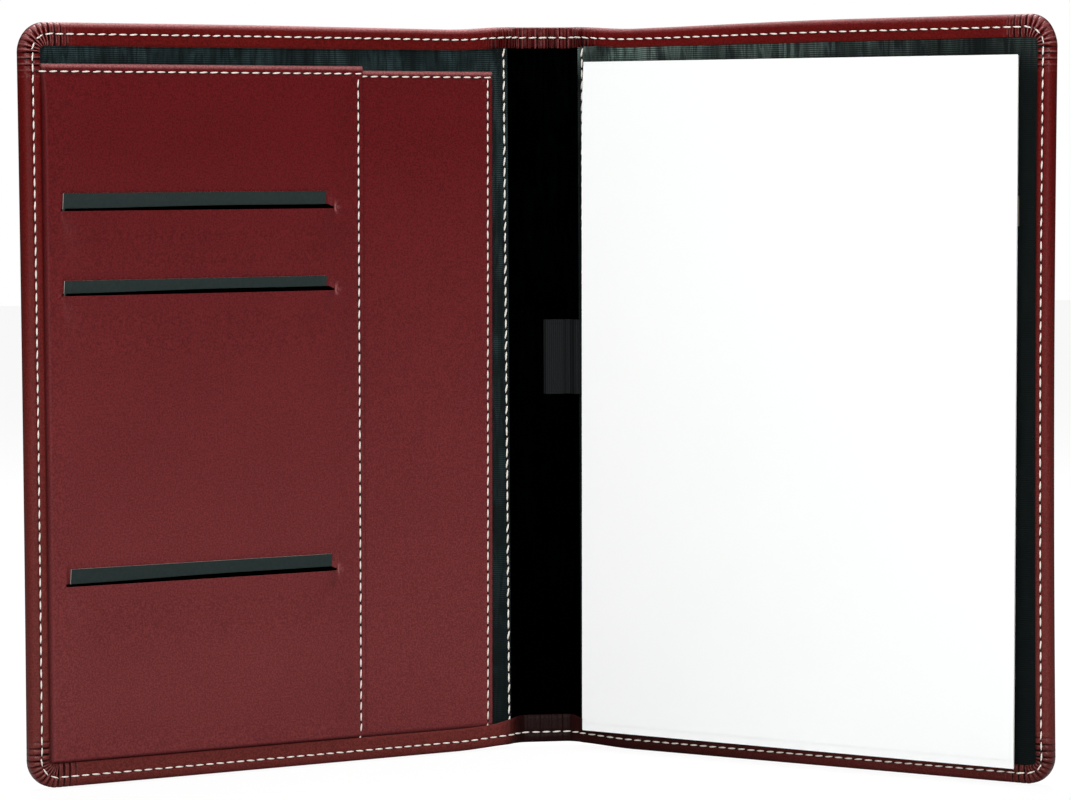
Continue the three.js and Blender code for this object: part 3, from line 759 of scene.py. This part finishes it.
def sew(name, paths, tree, sizes, seed, stout=1.0, hole=0.8, slant=0.1):
    """Threads along each path, as one plain mesh."""
    curve = bpy.data.curves.new(name + "_path", "CURVE")
    curve.dimensions = "3D"
    for path in paths:
        spline = curve.splines.new("POLY")
        spline.points.add(len(path) - 1)
        spline.points.foreach_set("co", [c for point in path for c in (*point, 1.0)])
    guide = link(bpy.data.objects.new(name + "_path", curve))
    modifier = guide.modifiers.new("Stitches", "NODES")
    modifier.node_group = tree
    values = {"Pitch": sizes.pitch, "Length": sizes.length * stout, "Thickness": sizes.thickness * stout,
              "Slant": slant, "Hole": hole * MM, "Seed": seed,
              "Thread": SHOP["thread"], "Needle Hole": SHOP["hole"]}
    for item in tree.interface.items_tree:
        if item.name in values:
            modifier[item.identifier] = values[item.name]
    mesh = plain_mesh(guide)
    bpy.data.objects.remove(guide)
    bpy.data.curves.remove(curve)
    return link(bpy.data.objects.new(name, mesh))


COVERS = {"front": ("front_cover", -1, 3), "back": ("back_cover", 1, 8)}
SHOP = {}


def turn_of(side):
    """The angle about Z of a cover's width."""
    return FOLD.along + (FOLD.front_bend if side < 0 else -FOLD.back_bend)


def blend_to_spine(piece, body, side):
    start, end = FOLD.blend_ends(side)
    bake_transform(piece)
    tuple(start)
    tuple(end)


class PADFOLIO_OT_finishes(bpy.types.Operator):
    """Makes the finishes and puts them on the frame's own pieces"""

    bl_idname = "padfolio.finishes"
    bl_label = "Finishes"

    def execute(self, context):
        colours = context.scene.padfolio_finishes
        dark, black = scaled(colours.lining, 0.22), (0.0, 0.0, 0.0)
        # Painted light and shade of each lining: the gain of its lit colour, its painted light along the top,
        # and what is left at its outer edge beside the pad.
        painted_lining_light = {"front": ((4.2, 3.5, 3.7), 1.3, 1.0), "back": ((21.0, 14.0, 12.6), 9.0, 0.2)}
        for name, (gain, glow, outer) in painted_lining_light.items():
            turn = turn_of(COVERS[name][1])
            label = name.title()
            SHOP[name + "_leather"] = leather_finish(label + " Leather", colours.leather, turn, COVER_FOOT_LIGHT)
            lit = tuple(c * g for c, g in zip(colours.lining, gain))
            SHOP[name + "_lining"] = lining_finish(label + " Lining", turn, dark, lit, 0.08, glow, outer)
        SHOP["panel"] = leather_finish("Panel Leather", colours.panel, turn_of(-1), PANEL_FOOT_LIGHT)
        # Black cloth, painted near black and given no reflection, as painted shade deep in the spine's
        # valley.
        SHOP["spine_lining"] = lining_finish("Spine Lining", FOLD.along, black, linear((2, 3, 3)), 0.0)
        SHOP["card"] = card_finish("Printed Card", colours.card)
        SHOP["card_edge"] = paper_finish("Card Core", linear((205, 212, 205)), SHEET_EDGES)
        SHOP["paper"] = paper_finish("Pad Paper", colours.paper)
        SHOP["top_sheet"] = paper_finish("Top Sheet", linear((249, 252, 251)))
        SHOP["paper_edge"] = paper_finish("Pad Edge", linear((238, 240, 238)), SHEET_EDGES)
        strands = (linear((3, 4, 5)), linear((27, 31, 32)))
        SHOP["elastic"] = elastic_finish("Ribbed Elastic", FOLD.along, *strands)
        # Painted shade: the dark dot at each needle hole.
        SHOP["hole"] = board_finish("Needle Hole", linear((14, 4, 4)), 0.4)
        # Painted shadow: a black sheet for the shade in the gap below each card, in its slot.
        SHOP["slot_cloth"] = lining_finish("Slot Shadow Cloth", turn_of(-1), black, linear((2, 2, 2)), 0.0)
        SHOP["thread"] = fibre_finish("Cream Thread", colours.thread, (0.3, 2.0), 0.6, 0.3, sheen_weight=0.2)
        SHOP["greyboard"] = board_finish("Greyboard", linear((150, 142, 128)), 0.8)
        SHOP["padding"] = board_finish("Padding", linear((220, 216, 205)), 0.5)
        worn = {"front_lining": ("front_lining", "upper_card_pouch", "middle_card_pouch", "lower_card_pouch"),
                "back_lining": ("back_lining",), "greyboard": ("front_board", "back_board", "pad_backing"),
                "padding": ("front_foam", "back_foam")}
        for finish, nodes in worn.items():
            for slot in (slot for node in nodes for slot in NODES[node].material_slots):
                slot.material = SHOP[finish]
        return {"FINISHED"}


class PADFOLIO_OT_leather(bpy.types.Operator):
    """Makes the covers' outer leather, which meets at the middle of the spine"""

    bl_idname = "padfolio.leather"
    bl_label = "Cover Leather"

    def execute(self, context):
        sizes = context.scene.padfolio_sizes
        for name, (body, side, seed) in COVERS.items():
            cover = LeatherCover(sizes, side, seed)
            piece = cover.build(name + "_cover_leather", [SHOP[name + "_leather"]])
            nodes = [name + "_leather"] + (["spine_leather"] if side < 0 else [])
            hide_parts(*nodes)
            blend_to_spine(piece, body, side)
        return {"FINISHED"}


class PADFOLIO_OT_spine_lining(bpy.types.Operator):
    """Makes the cloth inside the spine, which runs under both covers' linings"""

    bl_idname = "padfolio.spine_lining"
    bl_label = "Spine Lining"

    def execute(self, context):
        for name, (body, side, _) in COVERS.items():
            top = LINING - 0.8 if side < 0 else BACK_LINING - 1.3
            xs = lines(0.0, (FOLD.half + 6.0, 0.4))
            vs = lines(2.6, (8.0, 1.0), (10.0, 0.4), (218.0, 3.0), (COVER_HEIGHT - 2.6, 0.4))
            x, v = np.meshgrid(xs, vs, indexing="ij")
            rise = smooth((x - FOLD.half + 4.0) / 5.0)
            ripple = 0.12 * np.sin(v / 7.0 + x * 0.6) * (1 - rise)
            h = 0.5 + (top - 0.5) * rise + ripple
            flap = SPINE_FLAP + (top - SPINE_FLAP) * smooth((x - FOLD.half + 4.5) / 8.0)
            under = smooth(np.maximum(9.7 - v, v - COVER_HEIGHT + 5.6) / 1.2)
            h = mix(h, np.minimum(h, flap - 1.15), under)
            piece = new_piece(name + "_spine_cloth", FOLD.place(side * x, h, v),
                              grid_faces(*x.shape, None, side > 0), [SHOP["spine_lining"]])
            thicken(piece, 0.25)
            if side < 0:
                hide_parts("spine_lining")
            blend_to_spine(piece, body, side)
        return {"FINISHED"}


def past_border(u, v):
    """How far a point is from the border, which the panels are tucked under."""
    return np.minimum(COVER_WIDTH - u - SIDE_BORDER, v - FOOT_BORDER)


def tucked_share(u, v):
    return smooth((past_border(u, v) + 0.1) / 1.1)


def swelling(u, v):
    """How far the card panel has risen over its cards, from 0 at its edges to 1."""
    beside = 0.75 + 0.25 * smooth(past_border(u, v) / 14.0)
    return beside * smooth((np.minimum(u - PANEL_START, PANEL_TOP - v) - 1.0) / 12.0)


def tucked_corner(u, v, edge=PANEL_START, shift=-0.4, slant=0.9):
    """Rounds the outer bottom corner of a tucked panel like the cover's own, and leans its free edge."""
    u = u + (shift + slant * (1 - v / COVER_HEIGHT)) * smooth(1 - (u - edge - 3.0) / 5.0)
    du = u - (COVER_WIDTH - CORNER_RADIUS)
    dv = CORNER_RADIUS - v
    corner = (du > 0) & (dv > 0)
    pull = np.where(corner, np.maximum(du, dv) / np.maximum(np.hypot(du, dv), 1e-9), 1.0)
    return (np.where(corner, COVER_WIDTH - CORNER_RADIUS + du * pull, u),
            np.where(corner, CORNER_RADIUS - dv * pull, v))


def hem(free, drop=0.7, edge=0.7, band=3.6, rise=0.22):
    """Height of a folded hem near a free edge, with its rounded edge and its seam's groove."""
    folded = rise * (1 - smooth((free - band + 0.5) / 0.8))
    rounded = np.sqrt(np.clip(1 - (1 - np.clip(free / edge, 0, 1)) ** 2, 0, 1))
    groove = 0.16 * np.exp(-(((free - HEM_STITCH) / 0.4) ** 2))
    return folded - groove - (1 - rounded) * drop


def sheet_marks(top):
    """Where a pocket's leather is painted pale, as painted highlights along its hem and at the slots' ends,
    and painted dark, as painted shade in the groove by the border.
    """
    def painted_highlight(u, v):
        # Painted highlight along the hem's top edge, and in a star at each slot's end on the card panel.
        worn = smooth((v - top + 1.5) / 1.0) * 0.8
        for slot in SLOT_HEIGHTS:
            du, dv = SLOT_START - u, v - slot - SLOT_GAPE / 2
            star = np.exp(-((np.hypot(du, dv) / 1.3) ** 2)) * (0.5 + 0.5 * np.cos(np.arctan2(dv, du) * 5))
            worn = worn + star * (du > 0) * (top > POCKET_TOP)
        return np.clip(worn, 0, 1)

    def painted_shade(u, v):
        # Painted shade in the groove where the sheet tucks under the border.
        return 0.7 * (1 - smooth((past_border(u, v) - 0.4) / 0.5))

    return {"painted_highlight": painted_highlight, "painted_shade": painted_shade}


class PADFOLIO_OT_pocket(bpy.types.Operator):
    """Makes the document pocket's leather sheet"""

    bl_idname = "padfolio.pocket"
    bl_label = "Document Pocket"

    def execute(self, context):
        us = lines(POCKET_START, (POCKET_START + HEM_STRIP, HEM_STEP), (60.0, 1.5), (154.0, 12.0),
                   (COVER_WIDTH - TUCK_INSET, 0.8))
        vs = lines(TUCK_INSET, (11.0, 0.6), (POCKET_TOP - HEM_STRIP, 3.0), (POCKET_TOP, HEM_STEP))

        def front(u, v):
            visible = 1 - smooth((u - PANEL_START + 1.2) / 0.8)
            level = POCKET_FRONT + np.minimum(hem(u - POCKET_START), hem(POCKET_TOP - v, 0.8, 1.6)) * visible
            return mix(POCKET_TUCK, level, tucked_share(u, v))

        def back(u, v):
            level = mix(POCKET_TUCK - 0.35, POCKET_FRONT - 0.7, tucked_share(u, v))
            return np.minimum(level, front(u, v) - 0.02)

        piece = closed_sheet("pocket_sheet", us, vs, front, back, -1, [SHOP["panel"]],
                             corner=lambda u, v: tucked_corner(u, v, POCKET_START, *POCKET_LEAN),
                             marks=sheet_marks(POCKET_TOP))
        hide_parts("document_pocket")
        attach(piece, "front_cover")
        return {"FINISHED"}


def slot_lips(u, v):
    """How the cards push a slot's lips apart."""
    ends = smooth((u - SLOT_START) / 2.8) * smooth((SLOT_END - u) / 1.4)
    rise = np.zeros_like(u)
    for slot, peek in zip(SLOT_HEIGHTS, CARD_PEEKS):
        below = slot - v
        above = v - slot - SLOT_GAPE
        swell = np.where((below >= -1e-6) & (below < LIP_REACH), 1.05 * smooth(1 - below / LIP_REACH), 0.0)
        spread = 0.6 * np.clip(below, 0, LIP_REACH)
        swell = swell * smooth((u - SLOT_START) / (2.8 + spread)) * smooth((SLOT_END - u) / (1.4 + spread))
        sink = np.where((above >= -1e-6) & (above < LIP_SINK), 0.82 * smooth(1 - above / (peek + 2.4)), 0.0)
        rise += swell - sink * ends
        for end, way in ((SLOT_START, -1), (SLOT_END, 1)):
            du, dv = u - end, v - slot - SLOT_GAPE / 2
            pucker = 0.3 * np.exp(-((np.hypot(du, dv * 1.3) / 1.3) ** 2))
            rise -= pucker * np.cos(np.arctan2(dv, du * way) * 5) * (du * way > 0)
    return rise


def panel_level(u, v):
    """Height of the card panel's front, without its hems."""
    return PANEL_EDGE + (PANEL_FRONT - PANEL_EDGE) * swelling(u, v) + slot_lips(u, v)


class PADFOLIO_OT_card_panel(bpy.types.Operator):
    """Makes the leather panel with the card slots"""

    bl_idname = "padfolio.card_panel"
    bl_label = "Card Panel"

    def execute(self, context):
        us = lines(PANEL_START, (PANEL_START + HEM_STRIP, HEM_STEP), (SLOT_START - 4, 1.0),
                   (SLOT_START + 4, 0.35), (SLOT_END - 3, 2.5), (SLOT_END + 3, 0.3),
                   (COVER_WIDTH - TUCK_INSET, 0.5))
        round_slots = [(slot + past, spacing) for slot in SLOT_HEIGHTS for past, spacing in
                       ((-8.0, 2.0), (-2, 0.7), (0, 0.25), (SLOT_GAPE, SLOT_GAPE), (LIP_SINK, 0.45))]
        vs = lines(TUCK_INSET, (12.0, 0.5), *round_slots, (PANEL_TOP - HEM_STRIP, 2.0), (PANEL_TOP, HEM_STEP))

        def front(u, v):
            hems = np.minimum(hem(u - PANEL_START), hem(PANEL_TOP - v, 0.9, 1.6))
            return mix(PANEL_TUCK, panel_level(u, v) + hems, tucked_share(u, v))

        def back(u, v):
            level = mix(PANEL_TUCK, panel_level(u, v), tucked_share(u, v))
            return np.minimum(level - 0.35, front(u, v) - 0.02)

        def keep(u, v):
            level = np.any([(v > slot) & (v < slot + SLOT_GAPE) for slot in SLOT_HEIGHTS], axis=0)
            return ~(level & (u > SLOT_START) & (u < SLOT_END))

        piece = closed_sheet("card_panel_sheet", us, vs, front, back, -1, [SHOP["panel"]], keep,
                             tucked_corner, sheet_marks(PANEL_TOP))
        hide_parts("card_panel")
        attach(piece, "front_cover")
        return {"FINISHED"}


def colour_edges(piece, side):
    """Gives a flat-faced piece on a cover its second material along its edges."""
    facing = Vector((*FOLD.direction(turn_of(side) - math.pi / 2), 0.0))
    for face in piece.data.polygons:
        face.use_smooth = False
        if abs(face.normal.dot(facing)) < 0.5:
            face.material_index = 1


class PADFOLIO_OT_cards(bpy.types.Operator):
    """Makes the dark cards that stand out of the slots"""

    bl_idname = "padfolio.cards"
    bl_label = "Cards"

    def execute(self, context):
        rests = {"lower": (4.8, 66.0), "middle": (5.6, 66.9), "upper": (4.8, 66.9)}
        for (name, (rest, start)), slot, peek in zip(rests.items(), SLOT_HEIGHTS, CARD_PEEKS):
            us = start + np.array([0.0, CARD_EDGE, CARD_WIDTH - CARD_EDGE, CARD_WIDTH])
            top = slot + peek
            vs = lines(top - CARD_HEIGHT, (slot - CARD_BEND, 8.0), (slot, 1.0), (top, 0.6))

            def front(u, v):
                behind = rest + (CARD_FRONT - rest) * smooth(1 - (slot - v) / CARD_BEND)
                return np.where(v <= slot, behind, CARD_FRONT + 0.75 * (v - slot) / peek)

            piece = closed_sheet(name + "_dark_card", us, vs, front, lambda u, v: front(u, v) - 0.35, -1,
                                 [SHOP["card"], SHOP["card_edge"]])
            colour_edges(piece, -1)
            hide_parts(name + "_card")
            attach(piece, "front_cover")
            self.cloth_lip(name, slot)
        return {"FINISHED"}

    @staticmethod
    def cloth_lip(name, slot):
        """The pouch's cloth edge along the slot in front of the card, painted black as the shadow in the gap
        between the card and the slot's lower lip.
        """
        us = lines(SLOT_START + 0.3, (SLOT_END - 0.3, 2.0))
        foot = slot - 5.0

        def edge(u):
            inner = (SLOT_END - u) / (SLOT_END - SLOT_START)
            return 0.75 + 0.55 * smooth(inner * 1.6) - 0.9 * smooth(1 - (u - SLOT_START) / 2.0)

        def corner(u, v):
            return u, foot + (v - foot) / 5.0 * (5.0 + edge(u))

        def front(u, v):
            return np.minimum(PANEL_FRONT + 0.12, panel_level(u, np.minimum(v, slot)) - 0.4)

        piece = closed_sheet(name + "_pouch_edge", us, lines(foot, (slot, 0.5)), front,
                             lambda u, v: front(u, v) - 0.15, -1, [SHOP["slot_cloth"]], corner=corner)
        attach(piece, "front_cover")


class PADFOLIO_OT_pen_loop(bpy.types.Operator):
    """Makes the elastic loop, sewn down beside the pad"""

    bl_idname = "padfolio.pen_loop"
    bl_label = "Pen Loop"

    foot = 111.8
    height = 23.4
    tip = -0.4
    tip_radius = 1.5
    tail = 15.2
    wall = 0.75

    def execute(self, context):
        turns = [math.pi / 2 + math.pi * k / 12 for k in range(1, 12)]
        band = np.linspace(self.tail, self.tip + self.tip_radius, 30)
        upper = [(x, self.middle(x) + self.reach(x)) for x in band]
        height, reach = self.middle(self.tip), self.reach(self.tip)
        bend = [(self.tip + self.tip_radius * (1 + math.cos(a)), height + reach * math.sin(a)) for a in turns]
        lower = [(x, max(self.middle(x) - self.reach(x), self.floor(x) + 0.05)) for x in band[::-1]]
        outer = np.array(upper + bend + lower)
        step = np.gradient(outer, axis=0)
        normal = np.stack([step[:, 1], -step[:, 0]], -1)
        normal /= np.linalg.norm(normal, axis=1)[:, None]
        if np.sum(normal * (outer - outer.mean(axis=0))) > 0:
            normal = -normal
        inner = outer + normal * self.wall
        vs = self.foot + np.concatenate([np.linspace(0, 0.8, 4), np.linspace(1.2, self.height - 1.2, 22),
                                         self.height - np.linspace(0.8, 0, 4)])
        hem = 0.12 * np.exp(-(((vs - self.foot - self.height + 1.3) / 0.25) ** 2))
        rows, count = len(vs), len(outer)
        points = [FOLD.place(ring[:, 0], ring[:, 1] - dip, np.full(count, v))
                  for ring in (outer, inner) for v, dip in zip(vs, hem)]
        faces = grid_faces(rows, count)
        shift = rows * count
        faces += reversed_copy(faces, shift)
        for k in range(count - 1):
            last = (rows - 1) * count + k
            faces += [[k, k + 1, k + 1 + shift, k + shift], [last + 1, last, last + shift, last + 1 + shift]]
        for row in range(rows - 1):
            a, b = row * count, (row + 1) * count
            c, d = a + count - 1, b + count - 1
            faces += [[a, a + shift, b + shift, b], [d, d + shift, c + shift, c]]
        piece = new_piece("elastic_loop", np.concatenate(points), faces, [SHOP["elastic"]])
        merge(piece, 1e-7)
        piece.data.set_sharp_from_angle(angle=SHARP)
        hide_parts("pen_loop")
        blend_to_spine(piece, "back_cover", 1)
        return {"FINISHED"}

    def middle(self, x):
        return self.floor(x) + 1.8 - 0.9 * smooth((x - 6.0) / 3.0)

    @staticmethod
    def reach(x):
        return 1.6 * (1 - 0.5 * smooth((x - 5.0) / 4.0))

    @staticmethod
    def floor(x):
        return 0.5 + (BACK_LINING - 0.45) * smooth((x - FOLD.half + 4.0) / 5.0)


class PADFOLIO_OT_pad(bpy.types.Operator):
    """Makes the writing pad: a top sheet over a block of slightly uneven sheets"""

    bl_idname = "padfolio.pad"
    bl_label = "Writing Pad"

    start = 6.9
    base = 5.5
    width = 148.0
    height = 210.0
    floor = 4.9
    thickness = 4.5
    turn = -0.0046
    curl = 0.7
    slide = 2.0

    def slab(self, low, high, left, right, bottom, top, bevel=0.0):
        """Corner points of one run of sheets, turned a little on the cover."""
        outline = [(left, bottom + bevel), (left + bevel, bottom), (right, bottom), (right, top),
                   (left + self.curl, top), (left + self.curl * 0.4, top - 9.0), (left, top - 26.0)]
        middle_u, middle_v = self.start + self.width / 2, self.base + self.height / 2
        cos, sin = math.cos(self.turn), math.sin(self.turn)
        shifts = [(u - middle_u, v - middle_v) for u, v in outline]
        points = [on_cover(1, middle_u + du * cos - dv * sin, h, middle_v + du * sin + dv * cos)
                  for h in (low, high) for du, dv in shifts]
        n = len(outline)
        faces = [list(range(n)), list(range(2 * n - 1, n - 1, -1))]
        faces += [[k, k + n, (k + 1) % n + n, (k + 1) % n] for k in range(n)]
        return points, faces

    def execute(self, context):
        rng = random.Random(12)
        points, faces = [], []
        top = self.floor + self.thickness
        levels = np.linspace(self.floor, top - 0.15, 14)
        slabs = []
        for low, high in zip(levels[:-1], levels[1:]):
            drift = [rng.uniform(-0.15, 0.15) for _ in range(4)]
            back = self.slide * (top - high) / (top - self.floor)
            left = self.start - back
            slabs.append((low, high - 0.02, left + drift[0], self.start + self.width - back + drift[1],
                          self.base + drift[2], self.base + self.height - 0.3 + drift[3], 0.0))
        slabs.append((top - 0.12, top, self.start, self.start + self.width, self.base + 2.5,
                      self.base + self.height, 1.2))
        for slab in slabs:
            more, sides = self.slab(*slab)
            shift = len(points)
            points += more
            faces += [[index + shift for index in face] for face in sides]
        piece = new_piece("pad_block", points, faces,
                          [SHOP["paper"], SHOP["paper_edge"], SHOP["top_sheet"]], False)
        merge(piece, 1e-9)
        colour_edges(piece, 1)
        for face in piece.data.polygons[len(sides) * (len(slabs) - 1):]:
            face.material_index = face.material_index or 2
        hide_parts("pad_sheets")
        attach(piece, "back_cover")
        return {"FINISHED"}


class PADFOLIO_OT_stitching(bpy.types.Operator):
    """Sews the border, the pockets' hems and the seams beside the spine"""

    bl_idname = "padfolio.stitching"
    bl_label = "Stitching"

    def execute(self, context):
        sizes = context.scene.padfolio_sizes
        stitches = context.scene.padfolio_stitches
        tree = stitch_tree()
        inset = stitches.inset / MM
        for name, (body, side, seed) in COVERS.items():
            cover = LeatherCover(sizes, side, seed)
            paths = [cover.seam(inset, 0.02), cover.seam(inset, 0.02, False)]
            piece = sew(name + "_border_seam", paths, tree, stitches, seed, hole=0.5)
            blend_to_spine(piece, body, side)
        piece = sew("pocket_seams", self.panel_paths(), tree, stitches, 5)
        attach(piece, "front_cover")
        for name, side, u, h in (("front", -1, 2.55, LINING), ("back", 1, 3.6, BACK_LINING)):
            lean = 0.7 if side < 0 else 0.0
            vs = np.linspace(8.5, 219.0, 120)
            path = on_cover(side, u + lean * (vs / COVER_HEIGHT - 0.5), h + 0.05, vs)
            piece = sew(name + "_lining_seam", [path], tree, stitches, 6, 1.14, slant=0.22)
            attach(piece, name + "_cover")
        return {"FINISHED"}

    @staticmethod
    def panel_paths():
        """The seams along the tops and the free edges of the card panel and the pocket."""
        def run(edge, lean, u, h, v):
            return on_cover(-1, tucked_corner(u, v, edge, *lean)[0], h, v)

        def free_edge(edge, lean, h, sink, top, foot):
            """Down a free edge, going under the border at the foot."""
            v = np.linspace(top, foot, 120)
            return run(edge, lean, edge + HEM_STITCH, h - sink * (1 - smooth((v - 7) / 3)), v)

        card = (PANEL_START, PANEL_LEAN)
        pocket = (POCKET_START, POCKET_LEAN)
        card_h, pocket_h = PANEL_EDGE + 0.1, POCKET_FRONT + 0.08
        card_v, pocket_v = PANEL_TOP - HEM_STITCH - 0.5, POCKET_TOP - HEM_STITCH
        return [
            run(*card, np.linspace(PANEL_START + HEM_STITCH, 158.0, 60), card_h, card_v),
            free_edge(*card, card_h, 0.8, 209.0, 7.2),
            run(*pocket, np.linspace(POCKET_START + HEM_STITCH, PANEL_START - 1.1, 30), pocket_h, pocket_v),
            free_edge(*pocket, pocket_h, 0.4, pocket_v - 2.0, 7.4),
        ]


class PADFOLIO_OT_stage(bpy.types.Operator):
    """Sets up the camera, the lamps and the white floor"""

    bl_idname = "padfolio.stage"
    bl_label = "Stage"

    focal_px = 3763.4
    picture_width = 1071.0
    sensor = 36.0
    camera_at = (-0.872, -1145.86, 182.6)
    pitch = 0.0613
    roll = 0.0056
    aim = (0.0, 0.0, 0.11)
    lamps = (("Key", (-0.3, -1.6, 0.8), 0.7, 13.0), ("Fill", (0.15, -1.3, 0.14), 0.6, 11.5),
             ("Rim", (0.0, 0.5, 1.0), 0.7, 16.0), ("Top", (0.0, -0.4, 1.5), 0.4, 7.0))
    floor_reach = 4.0
    floor_drop = 0.0003

    def execute(self, context):
        self.set_camera(context)
        self.set_lamps(context)
        self.set_floor()
        context.scene.view_settings.view_transform = "Standard"
        return {"FINISHED"}

    def set_camera(self, context):
        camera = link(bpy.data.objects.new("Camera", bpy.data.cameras.new("Camera")))
        camera.data.sensor_width = self.sensor
        camera.data.lens = self.focal_px / self.picture_width * self.sensor
        camera.data.clip_end = 20.0
        right = Vector((1.0, 0.0, 0.0))
        ahead = Vector((0.0, math.cos(self.pitch), -math.sin(self.pitch)))
        down = Vector((0.0, -math.sin(self.pitch), -math.cos(self.pitch)))
        rolled_right = right * math.cos(self.roll) + down * math.sin(self.roll)
        rolled_down = down * math.cos(self.roll) - right * math.sin(self.roll)
        turn = Matrix((rolled_right, -rolled_down, -ahead)).transposed()
        camera.matrix_world = Matrix.Translation(Vector(self.camera_at) * MM) @ turn.to_4x4()
        context.scene.camera = camera

    def set_lamps(self, context):
        for name, where, size, power in self.lamps:
            lamp = link(bpy.data.objects.new(name, bpy.data.lights.new(name, "AREA")))
            lamp.data.size = size
            lamp.data.energy = power
            lamp.location = where
            lamp.rotation_euler = (Vector(self.aim) - Vector(where)).to_track_quat("-Z", "Y").to_euler()
        world = bpy.data.worlds.new("Studio")
        context.scene.world = world
        world.use_nodes = True
        world.node_tree.nodes.clear()

        def add(kind, inputs=None, **settings):
            return add_node(world.node_tree, kind, inputs, **settings).outputs

        ray = add("ShaderNodeLightPath")
        rays = {0: ray["Is Camera Ray"], 1: ray["Is Transmission Ray"]}
        seen = add("ShaderNodeMath", rays, operation="MAXIMUM")
        dim, bright = (add("ShaderNodeBackground", {"Color": WHITE, "Strength": s})[0] for s in (0.07, 1.0))
        mixed = add("ShaderNodeMixShader", {0: seen[0], 1: dim, 2: bright})
        add("ShaderNodeOutputWorld", {"Surface": mixed[0]})

    def set_floor(self):
        """A floor that the camera sees nearly white, and that throws less light back on the covers."""
        f = Finish("White Floor")
        seen = f.term("ShaderNodeLightPath", "Is Camera Ray")
        shade = f.colours(seen, (0.35, 0.35, 0.35), (0.95, 0.95, 0.95))
        paper = f.node("ShaderNodeBsdfDiffuse", {"Color": shade})
        glow = f.node("ShaderNodeEmission", {"Color": WHITE, "Strength": 1.03})
        mixed = f.node("ShaderNodeMixShader", {0: seen * 0.9, 1: paper.outputs[0], 2: glow.outputs[0]})
        f.node("ShaderNodeOutputMaterial", {"Surface": mixed.outputs[0]})
        corners = [(x, y, -self.floor_drop) for x, y in ((-1, -1), (1, -1), (1, 1), (-1, 1))]
        corners = [(x * self.floor_reach, y * self.floor_reach, z) for x, y, z in corners]
        floor = new_piece("floor", corners, [[0, 1, 2, 3]], [f.material], False)


OPERATORS = (
    PADFOLIO_OT_stage, PADFOLIO_OT_finishes, PADFOLIO_OT_leather, PADFOLIO_OT_spine_lining,
    PADFOLIO_OT_pocket, PADFOLIO_OT_card_panel, PADFOLIO_OT_cards, PADFOLIO_OT_pen_loop, PADFOLIO_OT_pad,
    PADFOLIO_OT_stitching,
)


class PADFOLIO_PT_panel(bpy.types.Panel):
    """Sizes, finishes and steps of the padfolio"""

    bl_label = "Padfolio"
    bl_idname = "PADFOLIO_PT_panel"
    bl_space_type = "VIEW_3D"
    bl_region_type = "UI"
    bl_category = "Padfolio"

    def draw(self, context):
        scene = context.scene
        for group in (scene.padfolio_sizes, scene.padfolio_stitches, scene.padfolio_finishes):
            box = self.layout.box()
            for name in group.__annotations__:
                box.prop(group, name)
        for operator in OPERATORS:
            self.layout.operator(operator.bl_idname)


GROUPS = {"padfolio_sizes": FolioSizes, "padfolio_stitches": StitchSizes, "padfolio_finishes": Finishes}
CLASSES = (*GROUPS.values(), *OPERATORS, PADFOLIO_PT_panel)


def register():
    for cls in CLASSES:
        bpy.utils.register_class(cls)
    for name, group in GROUPS.items():
        setattr(bpy.types.Scene, name, PointerProperty(type=group))


def unregister():
    for name in GROUPS:
        delattr(bpy.types.Scene, name)
    for cls in reversed(CLASSES):
        bpy.utils.unregister_class(cls)


def main():
    register()
    for operator in OPERATORS:
        group, name = operator.bl_idname.split(".")
        getattr(getattr(bpy.ops, group), name)()


if __name__ == "__main__":
    main()
